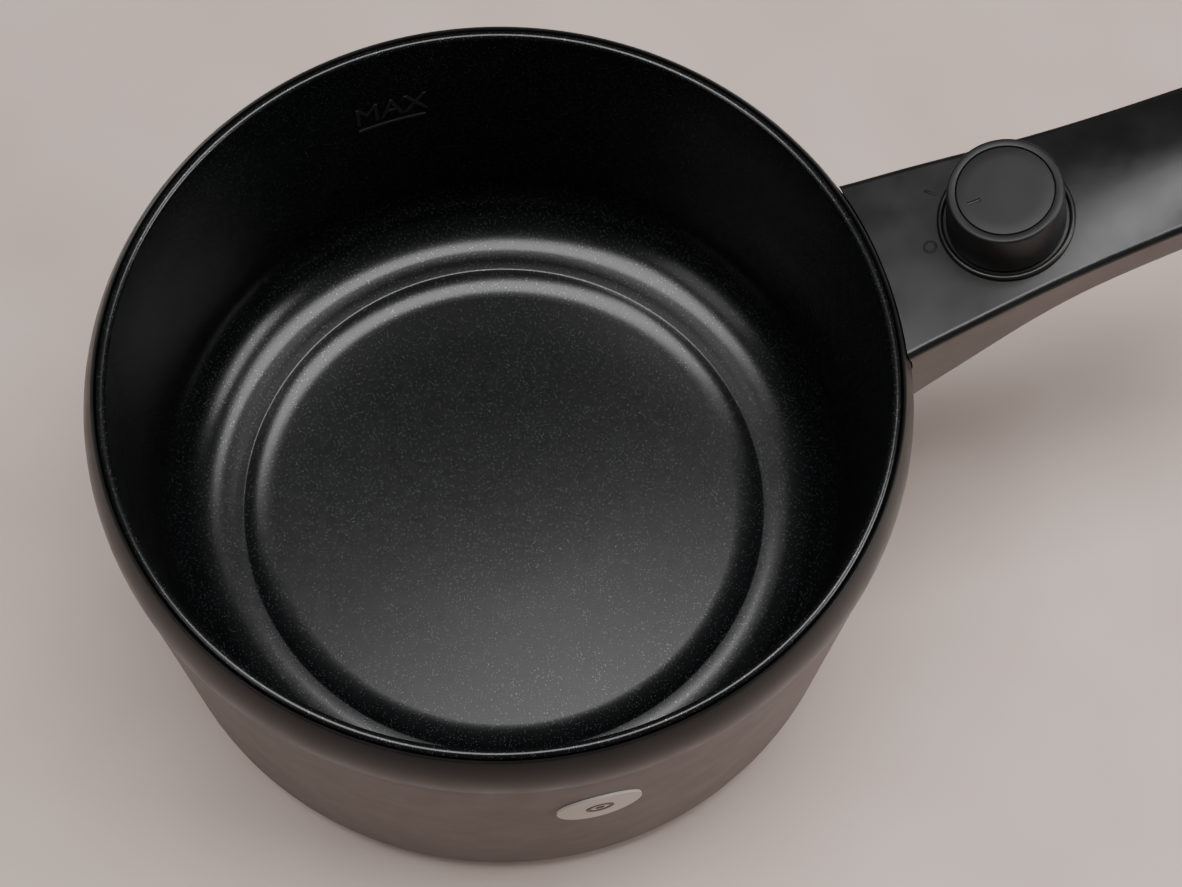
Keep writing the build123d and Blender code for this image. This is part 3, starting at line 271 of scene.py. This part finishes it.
# %% Non-stick coating
def nonstick_coat():
    """Dark sprayed coating with an orange-peel relief and fine bright mineral flecks."""
    fleck_mm = 0.37
    fleck_colour = (0.16, 0.165, 0.175, 1)
    material = new_finish("nonstick_coat", (0.004, 0.004, 0.004), 0.23, Specular_IOR_Level=0.42)
    base = drift(material, (0.0028, 0.0029, 0.0032), (0.0040, 0.0041, 0.0046), size_mm=9.0)
    uneven_gloss(material, 0.22, 0.24, size_mm=3.0)
    cells = node(material, "TexVoronoi", Scale=1 / (fleck_mm * MM))
    link(material, coordinates(material), cells.inputs["Vector"])
    split = node(material, "SeparateColor")
    link(material, cells.outputs["Color"], split.inputs["Color"])
    bright = ramp(material, split.outputs["Red"], (0, 0, 0), (1, 1, 1), low_at=0.80, high_at=1.0)
    small = ramp(material, cells.outputs["Distance"], (1, 1, 1), (0, 0, 0), low_at=0.20, high_at=0.42)
    both = node(material, "Mix", data_type="RGBA", blend_type="MULTIPLY")
    both.inputs["Factor"].default_value = 1.0
    link(material, bright, both.inputs["A"])
    link(material, small, both.inputs["B"])
    mixed = node(material, "Mix", data_type="RGBA")
    link(material, both.outputs["Result"], mixed.inputs["Factor"])
    link(material, base, mixed.inputs["A"])
    mixed.inputs["B"].default_value = fleck_colour
    link(material, mixed.outputs["Result"], shader_of(material).inputs["Base Color"])
    link(material, both.outputs["Result"], shader_of(material).inputs["Metallic"])
    grain(material, size_mm=0.9, height_mm=0.0035)
    grain(material, size_mm=0.30, height_mm=0.004)
    return material


finish["nonstick_aluminium"] = nonstick_coat()

# %% Metals, rubber, ceramic and braid
def sheet_metal(name, dark, light, roughness, stretch=(1, 1, 1)):
    """Bare or plated metal: faint rolling lines and a mottled shade."""
    material = new_finish(name, dark, roughness, metallic=1.0)
    drift(material, dark, light, size_mm=4.0)
    uneven_gloss(material, roughness - 0.06, roughness + 0.08, size_mm=2.0, stretch=stretch)
    grain(material, size_mm=0.5, height_mm=0.004, stretch=stretch)
    return material


finish["screw_steel"] = sheet_metal("zinc_plate", (0.50, 0.51, 0.53), (0.60, 0.61, 0.63), 0.32)
finish["bracket_steel"] = sheet_metal(
    "rolled_steel", (0.42, 0.42, 0.42), (0.52, 0.52, 0.51), 0.38, stretch=(1, 12, 1))
finish["element_steel"] = sheet_metal("heat_tinted_steel", (0.16, 0.12, 0.10), (0.30, 0.27, 0.26), 0.45)
finish["cast_aluminium"] = sheet_metal("cast_aluminium", (0.58, 0.58, 0.59), (0.70, 0.70, 0.71), 0.48)
finish["terminal_brass"] = sheet_metal("plated_brass", (0.62, 0.46, 0.20), (0.72, 0.56, 0.28), 0.30)


def soft_rubber(name, dark, light, roughness):
    """Rubber or silicone: dull, with a coarse even grain."""
    material = new_finish(name, dark, roughness)
    drift(material, dark, light, size_mm=10.0)
    grain(material, size_mm=0.5, height_mm=0.015)
    return material


finish["foot_rubber"] = soft_rubber("foot_rubber", (0.018, 0.018, 0.018), (0.030, 0.029, 0.028), 0.75)
finish["seal_silicone"] = soft_rubber("seal_silicone", (0.22, 0.22, 0.22), (0.28, 0.28, 0.28), 0.5)


def glazed_ceramic():
    """Off-white ceramic under a smooth, slightly wavy glaze."""
    material = new_finish("glazed_ceramic", (0.74, 0.71, 0.64), 0.25)
    drift(material, (0.70, 0.67, 0.60), (0.78, 0.76, 0.70), size_mm=5.0)
    grain(material, size_mm=1.2, height_mm=0.01)
    return material


def braided_sleeve():
    """Glass braid: a fine drift in tone and a fine grain."""
    material = new_finish("glass_braid", (0.62, 0.59, 0.52), 0.7)
    drift(material, (0.52, 0.49, 0.42), (0.70, 0.67, 0.60), size_mm=0.6)
    grain(material, size_mm=0.35, height_mm=0.05)
    return material


finish["ceramic"] = glazed_ceramic()
finish["lead_sleeve"] = braided_sleeve()

# %% Give every carried-over piece its finish
def dress(piece, slot_name):
    piece.data.materials.clear()
    piece.data.materials.append(finish[slot_name])


for part in frame["record"]["subparts"]:
    dress(nodes[part["node"]], part["material_slot"])
print(len(finish), "finishes")

# %% [markdown]
# ## Turning a round piece
# Pan, ring, knob and collar are all round, so each is thrown like a pot: a ring of edges is drawn, and it is
# extruded and scaled through the outline point by point. Spinning a drawn outline would do the same, but here
# every step is one extrude that can be read and undone.

# %% Helpers for turning
same_place = 0.001
merge_metres = 0.000001
smooth_below = 35


def pick(test):
    """In edit mode, select the vertices whose place, in millimetres, passes the test."""
    bpy.ops.mesh.select_mode(type="VERT")
    bpy.ops.mesh.select_all(action="DESELECT")
    mesh = bmesh.from_edit_mesh(bpy.context.object.data)
    for vertex in mesh.verts:
        vertex.select_set(test(vertex.co / MM))
    mesh.select_flush(True)
    bmesh.update_edit_mesh(bpy.context.object.data)


def arc(centre_r, centre_z, radius, start, end, steps):
    """Points on an arc of (radius, height), by angle in degrees from straight outwards."""
    angles = [radians(start + (end - start) * i / steps) for i in range(steps + 1)]
    return [(centre_r + radius * cos(a), centre_z + radius * sin(a)) for a in angles]


def cap(radius, height):
    """Close a round hole in the piece being edited with a fan to its centre."""
    pick(lambda p: abs(p.z - height) < same_place and p.xy.length < radius + same_place)
    bpy.ops.mesh.edge_face_add()
    bpy.ops.mesh.poke()


def turn(name, outline, sides, capped):
    """Extrude a ring of edges through the outline; cap both ends, or join the last ring to the first."""
    clear_selection()
    radius, height = outline[0]
    bpy.ops.mesh.primitive_circle_add(vertices=sides, radius=radius * MM, location=(0, 0, height * MM))
    piece = bpy.context.object
    piece.name = name
    bpy.ops.object.transform_apply(location=True, rotation=False, scale=False)
    bpy.ops.object.mode_set(mode="EDIT")
    bpy.ops.mesh.select_all(action="SELECT")
    for next_radius, next_height in outline[1:]:
        rise = (0, 0, (next_height - height) * MM)
        bpy.ops.mesh.extrude_edges_move(TRANSFORM_OT_translate={"value": rise})
        grow = next_radius / radius
        bpy.ops.transform.resize(value=(grow, grow, 1), center_override=(0, 0, next_height * MM))
        radius, height = next_radius, next_height
    if capped:
        cap(*outline[0])
        cap(*outline[-1])
    else:
        bpy.ops.mesh.select_all(action="DESELECT")
        bpy.ops.mesh.select_mode(type="EDGE")
        bpy.ops.mesh.select_non_manifold()
        bpy.ops.mesh.bridge_edge_loops()
    close_up()
    return piece


def close_up():
    """Merge doubles and point every face outwards, then leave edit mode."""
    bpy.ops.mesh.select_all(action="SELECT")
    bpy.ops.mesh.remove_doubles(threshold=merge_metres)
    bpy.ops.mesh.normals_make_consistent(inside=False)
    bpy.ops.object.mode_set(mode="OBJECT")


def make_active(piece):
    """Select that piece alone, for the operators that work on the active one."""
    clear_selection()
    piece.select_set(True)
    bpy.context.view_layer.objects.active = piece


def soften(piece, width, segments=2, angle=28):
    """Round every sharp edge a little, as a mould does, and shade the rest smooth."""
    make_active(piece)
    if width:
        bevel = piece.modifiers.new("soft_edges", "BEVEL")
        bevel.width = width * MM
        bevel.segments = segments
        bevel.limit_method = "ANGLE"
        bevel.angle_limit = radians(angle)
        bpy.ops.object.modifier_apply(modifier=bevel.name)
    bpy.ops.object.shade_smooth_by_angle(angle=radians(smooth_below))


def put(piece, matrix):
    """Move a finished piece to its place, and leave that place in its mesh."""
    make_active(piece)
    piece.matrix_world = matrix
    bpy.ops.object.transform_apply(location=True, rotation=True, scale=True)


def fit_out(piece, slot_name, body, stands_for=(), look=None):
    """Give the piece its finish and its body, and hide the nodes that it stands for."""
    piece.data.materials.clear()
    piece.data.materials.append(look or finish[slot_name])
    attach(piece, body)
    if stands_for:
        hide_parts(*stands_for)
    print(piece.name, len(piece.data.polygons), "faces")


# %% [markdown]
# ## The pan
# The pan is pressed from aluminium sheet and sprayed inside with a dark coating. Its floor has a flat centre,
# a hollow slope up to a narrow flat ring, and a generous corner into a wall that leans out a little. The lip
# is rolled into a bead. One outline goes from the middle of the floor over the bead to the middle below.

# %% Pan bowl
pan_low, pan_high = (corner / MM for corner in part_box("inner_pan"))
base_sheet = 2.2
wall_sheet = 1.8
bead_r = 1.2
bead_at_r = pan_high.x - bead_r
bead_z = pan_high.z - bead_r
lip_in_r = bead_at_r - bead_r
recess_drop = 2.5
pan_floor = pan_low.z + base_sheet
flat_z = pan_floor + recess_drop
wall_lean = 1.6
corner_r = 17.3
corner_meet = 12.0
corner_at_r = lip_in_r - wall_lean - corner_r
corner_at_z = flat_z + corner_r * cos(radians(corner_meet))
flat_out_r = corner_at_r + corner_r * sin(radians(corner_meet))
flat_wide = 6.0
slope_wide = 8.0
flat_in_r = flat_out_r - flat_wide
floor_r = flat_in_r - slope_wide
slope_r = ((flat_in_r - floor_r) ** 2 + recess_drop ** 2) / (2 * recess_drop)
slope_angle = 2 * degrees(atan2(recess_drop, flat_in_r - floor_r))
axle_r = 1.0


def pan_outline():
    """From the middle of the floor up the wall, over the bead and back underneath."""
    inside = [(axle_r, pan_floor), (floor_r / 2, pan_floor)]
    inside += arc(floor_r, pan_floor + slope_r, slope_r, -90, -90 + slope_angle, steps=7)
    inside += [((flat_in_r + flat_out_r) / 2, flat_z)]
    inside += arc(corner_at_r, corner_at_z, corner_r, -90 + corner_meet, 0, steps=16)
    wall = [(lip_in_r - wall_lean * (1 - share), corner_at_z + share * (bead_z - corner_at_z))
            for share in (0.25, 0.5, 0.75)]
    lip = arc(bead_at_r, bead_z, bead_r, 180, -45, steps=16)
    outside = [(lip_in_r + wall_sheet, bead_z - 2 * bead_r)]
    outside += arc(corner_at_r, corner_at_z, corner_r + wall_sheet, 0, -90, steps=16)
    slope_back = arc(floor_r, pan_floor + slope_r, slope_r, -90 + slope_angle, -90, steps=5)
    below = [(x, z - base_sheet) for x, z in slope_back]
    return inside + wall + lip + outside + below + [(axle_r, pan_low.z)]


round_sides = 256
pan = turn("pan_bowl", pan_outline(), round_sides, capped=True)
soften(pan, 0.25, segments=2, angle=16)
fit_out(pan, "nonstick_aluminium", "root", ["inner_pan"])

# %% [markdown]
# ## The rim ring
# A black moulded ring joins pan and body. Its outside is one big arc, its top edge stops just short of the
# pan's bead, and a narrow step above the body leaves a shadow line. It is turned too, as a closed loop.

# %% Rim ring
ring_low, ring_high = (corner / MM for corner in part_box("rim_ring"))
shell_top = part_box("outer_shell")[1].z / MM
ring_arc_r = 21.0
ring_at_r = ring_high.x - ring_arc_r
bead_gap = 0.3
crest_flat = 0.5
ring_top_in_r = pan_high.x + bead_gap
crest_r = ring_top_in_r + crest_flat
crest_angle = degrees(acos((crest_r - ring_at_r) / ring_arc_r))
ring_at_z = ring_high.z - ring_arc_r * sin(radians(crest_angle))
seam = 0.4
ring_foot = shell_top + seam
foot_angle = degrees(asin((ring_foot - ring_at_z) / ring_arc_r))
foot_r = ring_at_r + ring_arc_r * cos(radians(foot_angle))
bore_inset = 0.1
ring_bore = bead_at_r + bead_r - bore_inset
step_in = 0.85
spigot_in = 2.35
spigot_out = foot_r - spigot_in
bead_shelf = 1.5
inner_edge_drop = 0.5


def ring_outline():
    """Down the outside from the crest, in under the step, and back up the bore."""
    crown = arc(ring_at_r, ring_at_z, ring_arc_r, crest_angle, foot_angle, steps=22)
    under = [(foot_r - step_in, ring_foot), (foot_r - step_in, shell_top), (spigot_out, shell_top)]
    spigot = [(spigot_out, ring_low.z), (ring_bore, ring_low.z)]
    shelf = [(ring_bore, bead_z - bead_shelf), (ring_top_in_r, bead_z - bead_shelf)]
    inner_edge = [(ring_top_in_r, ring_high.z - inner_edge_drop)]
    return crown + under + spigot + shelf + inner_edge


ring = turn("rim_band", ring_outline(), round_sides, capped=False)
soften(ring, 0.22, segments=2)
fit_out(ring, "black_plastic", "root", ["rim_ring"])

# %% [markdown]
# ## A frame for the handle
# The handle slopes up from the rim, so what sits on it is built flat at the origin, with X along the handle
# and Z out of its face. One matrix then puts each of them in place: a turn about Y and a move to the root.

# %% Handle frame
turn_joint = frame["joints"][0]
knob_centre = Vector(turn_joint["pos_m"])
knob_axis = -Vector(turn_joint["axis"])
handle_tilt = atan2(-knob_axis.x, knob_axis.z)
knob_at = 27.0
along = Vector((cos(handle_tilt), 0, sin(handle_tilt)))
handle_root = knob_centre - along * knob_at * MM
handle_frame = Matrix.Translation(handle_root) @ Matrix.Rotation(-handle_tilt, 4, "Y")
knob_frame = handle_frame @ Matrix.Translation((knob_at * MM, 0, 0))
print("handle rises", round(degrees(handle_tilt), 2), "degrees")

# %% [markdown]
# ## The knob
# A hollow charcoal cap with a rounded top edge, a round insert in its face and a short pointer line sunk in
# it. The cap has a hub inside that grips the switch's shaft. A low ring on the handle stands round its foot.

# %% Knob, insert and collar
knob_r = 13.6
knob_foot_r = 14.2
knob_top = 15.6
knob_foot = 0.8
knob_round = 0.75
insert_r = 11.3
insert_gap = 0.25
insert_sink = 1.2
insert_round = 0.2
insert_edge_drop = 0.25
insert_dish_wide = 3.0
insert_dish_drop = 0.08
insert_middle_drop = 0.10
knob_swell = 0.3
knob_axle_r = 0.6
hub_bore_r = 3.02
hub_bore_top = 12.6
hub_foot = 4.6
hub_r = 6.0
cap_ceiling = 13.0
cap_in_top_r = 11.9
cap_in_foot_r = 12.5
knob_sides = 128


def knob_outline():
    """Down the hub's bore, round its foot, along the hollow, and up the outside to the insert's seat."""
    hub = [(knob_axle_r, hub_bore_top), (hub_bore_r, hub_bore_top), (hub_bore_r, hub_foot), (hub_r, hub_foot)]
    hollow = [(hub_r, cap_ceiling), (cap_in_top_r, cap_ceiling), (cap_in_foot_r, knob_foot)]
    outside = [(knob_foot_r, knob_foot), (knob_r + knob_swell, knob_top / 2)]
    edge = arc(knob_r - knob_round, knob_top - knob_round, knob_round, 0, 90, steps=7)
    seat = insert_r + insert_gap
    groove = [(seat, knob_top), (seat, knob_top - insert_sink), (knob_axle_r, knob_top - insert_sink)]
    return hub + hollow + outside + edge + groove


def insert_outline():
    """A thin disc with a rounded edge and a face that is dished very slightly."""
    low = knob_top - insert_sink
    edge = arc(insert_r - insert_round, knob_top - insert_edge_drop, insert_round, 0, 90, steps=4)
    dish = (insert_r - insert_dish_wide, knob_top - insert_dish_drop)
    middle = (knob_axle_r, knob_top - insert_middle_drop)
    return [(knob_axle_r, low), (insert_r, low)] + edge + [dish, middle]


knob = turn("knob_cap", knob_outline(), knob_sides, capped=True)
soften(knob, 0.15, segments=2)
put(knob, knob_frame)
fit_out(knob, "knob_plastic", "knob_body", ["knob"])

pointer_at = -7.7
pointer_long = 3.2
pointer_wide = 0.9
pointer_high = 1.0
insert = turn("knob_insert", insert_outline(), knob_sides, capped=True)
clear_selection()
bpy.ops.mesh.primitive_cube_add(size=1, location=(pointer_at * MM, 0, knob_top * MM),
                                scale=(pointer_long * MM, pointer_wide * MM, pointer_high * MM))
pointer_tool = bpy.context.object
soften(pointer_tool, 0.12, segments=3)
make_active(insert)
cut = insert.modifiers.new("pointer", "BOOLEAN")
cut.operation = "DIFFERENCE"
cut.solver = "EXACT"
cut.object = pointer_tool
bpy.ops.object.modifier_apply(modifier=cut.name)
bpy.data.objects.remove(pointer_tool)
soften(insert, 0)
put(insert, knob_frame)
fit_out(insert, "knob_plastic", "knob_body", ["knob_disc"])

collar_in = 14.9
collar_out = 16.4
collar_mid = (collar_in + collar_out) / 2
collar_foot = -0.6
collar_crown_z = 0.55
collar_crown = arc(collar_mid, collar_crown_z, collar_mid - collar_in, 180, 0, steps=12)
collar_outline = [(collar_in, collar_foot)] + collar_crown + [(collar_out, collar_foot)]
collar = turn("knob_foot_ring", collar_outline, knob_sides, capped=False)
soften(collar, 0)
put(collar, knob_frame)
fit_out(collar, "black_plastic", "root", ["knob_collar"])

# %% [markdown]
# ## Marks for the three settings
# A ring for off, one stroke for low and two for high stand in low relief round the knob. They are tiny bars
# and one ring, made flat at the origin and carried to their angle by a matrix.

# %% Setting marks
mark_high = 0.12
mark_wide = 0.6
mark_seat = 0.08
mark_round = 0.1
mark_bevel_above = 45
stroke_long = 3.0
stroke_pair_offset = 0.65
off_angle, off_distance = 180, 19.2
low_angle, low_distance = 136, 19.6
high_angle, high_distance = 90, 18.2


def mark_frame(angle, distance):
    """A place on the handle's face at that angle and distance from the knob's middle."""
    outwards = Matrix.Translation((distance * MM, 0, mark_seat * MM))
    return knob_frame @ Matrix.Rotation(radians(angle), 4, "Z") @ outwards


def bar(name, offset, length, place):
    """One stroke that points at the knob, moved sideways by the offset."""
    clear_selection()
    bpy.ops.mesh.primitive_cube_add(size=1, location=(0, offset * MM, 0),
                                    scale=(length * MM, mark_wide * MM, 2 * mark_high * MM))
    stroke = bpy.context.object
    stroke.name = name
    soften(stroke, mark_round, segments=2, angle=mark_bevel_above)
    put(stroke, place @ stroke.matrix_world)
    fit_out(stroke, "black_soft_plastic", "root", look=finish["mark"])


off_out = 1.7
off_in = off_out - mark_wide
off_outline = [(off_in, -mark_high), (off_out, -mark_high), (off_out, mark_high), (off_in, mark_high)]
off_mark = turn("mark_off", off_outline, sides=48, capped=False)
soften(off_mark, mark_round, segments=2, angle=mark_bevel_above)
put(off_mark, mark_frame(off_angle, off_distance))
fit_out(off_mark, "black_soft_plastic", "root", look=finish["mark"])
bar("mark_low", 0.0, stroke_long, mark_frame(low_angle, low_distance))
bar("mark_high_a", -stroke_pair_offset, stroke_long, mark_frame(high_angle, high_distance))
bar("mark_high_b", stroke_pair_offset, stroke_long, mark_frame(high_angle, high_distance))

# %% [markdown]
# ## The fill mark
# The word MAX and a line under it stand a quarter of a millimetre out of the pan's wall. The word is set as
# text with a little thickness, made a mesh, and bent round the wall by the Simple Deform modifier.

# %% Fill mark
def bend_round(piece, radius):
    """Bend a flat upright piece about Z to that radius; a negative radius brings its ends forwards."""
    make_active(piece)
    bend = piece.modifiers.new("round_the_wall", "SIMPLE_DEFORM")
    bend.deform_method = "BEND"
    bend.deform_axis = "Z"
    bend.angle = piece.dimensions.x / (radius * MM)
    bpy.ops.object.modifier_apply(modifier=bend.name)


def wall_radius(z):
    """Radius of the pan's inner wall at that height."""
    return lip_in_r - wall_lean * (bead_z - z) / (bead_z - corner_at_z)


def on_inner_wall(piece, azimuth, z):
    """Stand a piece against the inner wall, facing the pan's middle."""
    lean = atan2(wall_lean, bead_z - corner_at_z)
    turned = Matrix.Rotation(radians(azimuth - 90), 4, "Z")
    outwards = Matrix.Translation((0, wall_radius(z) * MM, z * MM))
    put(piece, turned @ outwards @ Matrix.Rotation(-lean, 4, "X"))


def fill_word(width, height, relief):
    """The word as a flat upright mesh of that size, facing forwards."""
    clear_selection()
    bpy.ops.object.text_add(location=(0, 0, 0))
    word = bpy.context.object
    word.name = "fill_word"
    word.data.body = "MAX"
    word.data.align_x = "CENTER"
    word.data.align_y = "CENTER"
    word.data.size = height * MM
    word.data.extrude = relief * MM
    bpy.ops.object.convert(target="MESH")
    word = bpy.context.object
    bpy.ops.object.mode_set(mode="EDIT")
    bpy.ops.mesh.select_all(action="SELECT")
    bpy.ops.mesh.remove_doubles(threshold=merge_metres)
    bpy.ops.object.mode_set(mode="OBJECT")
    word.scale = (width * MM / word.dimensions.x, height * MM / word.dimensions.y, 1)
    word.rotation_euler = (pi / 2, 0, 0)
    bpy.ops.object.transform_apply(location=True, rotation=True, scale=True)
    return word


def underline(width, thick, relief):
    """A flat upright bar, cut often enough to bend."""
    clear_selection()
    bpy.ops.mesh.primitive_cube_add(size=1, location=(0, 0, 0),
                                    scale=(width * MM, 2 * relief * MM, thick * MM))
    line = bpy.context.object
    line.name = "fill_line"
    bpy.ops.object.transform_apply(location=True, rotation=True, scale=True)
    bpy.ops.object.mode_set(mode="EDIT")
    bpy.ops.mesh.subdivide(number_cuts=24)
    bpy.ops.object.mode_set(mode="OBJECT")
    return line


mark_azimuth = 92.7
fill_relief = 0.25
word_z = 85.0
line_z = 79.3
word = fill_word(width=19.5, height=7.0, relief=fill_relief)
bend_round(word, -wall_radius(word_z))
on_inner_wall(word, mark_azimuth, word_z)
soften(word, 0)
fit_out(word, "nonstick_aluminium", "root", look=finish["fill_mark"])
line = underline(width=18.5, thick=0.9, relief=fill_relief)
bend_round(line, -wall_radius(line_z))
on_inner_wall(line, mark_azimuth, line_z)
soften(line, 0.15, segments=2, angle=45)
fit_out(line, "nonstick_aluminium", "root", look=finish["fill_mark"])

# %% [markdown]
# ## The badge's emblem
# The pale disc on the front carries a plain ring with a dot, raised a little. Both are turned, then stood
# against the leaning wall at the badge's own place, which is measured on its node.

# %% Badge emblem
badge_points = [vertex.co / MM for vertex in nodes["badge"].data.vertices]
badge_low, badge_high = (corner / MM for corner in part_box("badge"))
badge_z = (badge_low.z + badge_high.z) / 2
badge_azimuth = atan2((badge_low.y + badge_high.y) / 2, (badge_low.x + badge_high.x) / 2)
badge_band = 2.5


def outer_radius(z):
    """How far out the badge reaches in a band about that height."""
    return max(point.xy.length for point in badge_points if abs(point.z - z) < badge_band)


badge_lean = atan2(outer_radius(badge_high.z) - outer_radius(badge_low.z), badge_high.z - badge_low.z)
badge_face = (outer_radius(badge_high.z) + outer_radius(badge_low.z)) / 2
emblem_frame = (Matrix.Rotation(badge_azimuth - pi / 2, 4, "Z")
                @ Matrix.Translation((0, badge_face * MM, badge_z * MM))
                @ Matrix.Rotation(-pi / 2 - badge_lean, 4, "X"))
emblem_in, emblem_out = 2.3, 3.4
emblem_foot, emblem_top = -0.3, 0.1
dot_r = 1.1
dot_axle_r = 0.1
dot_top = 0.14
ring_section = [(emblem_in, emblem_foot), (emblem_out, emblem_foot)]
ring_section += [(emblem_out, emblem_top), (emblem_in, emblem_top)]
dot_section = [(dot_r, emblem_foot), (dot_r, emblem_top), (dot_axle_r, dot_top)]
emblem_ring = turn("emblem_ring", ring_section, sides=64, capped=False)
emblem_dot = turn("emblem_dot", dot_section, sides=32, capped=True)
for emblem in (emblem_ring, emblem_dot):
    soften(emblem, 0.08, segments=2, angle=45)
    put(emblem, emblem_frame)
    fit_out(emblem, "badge_disc", "root", look=finish["emblem"])
print("badge leans", round(degrees(badge_lean), 2), "degrees")

# %% [markdown]
# ## The floor
# A plain pale worktop with a faint tone in it, wide enough to run out of every view.

# %% Floor
floor_size = 6.0
bpy.ops.mesh.primitive_plane_add(size=floor_size, location=(0, 0, 0))
floor = bpy.context.object
floor.name = "floor"
floor_finish = new_finish("pale_worktop", (0.54, 0.43, 0.38), 0.6)
drift(floor_finish, (0.52, 0.41, 0.36), (0.56, 0.45, 0.40), size_mm=60.0)
floor.data.materials.append(floor_finish)
clear_selection()
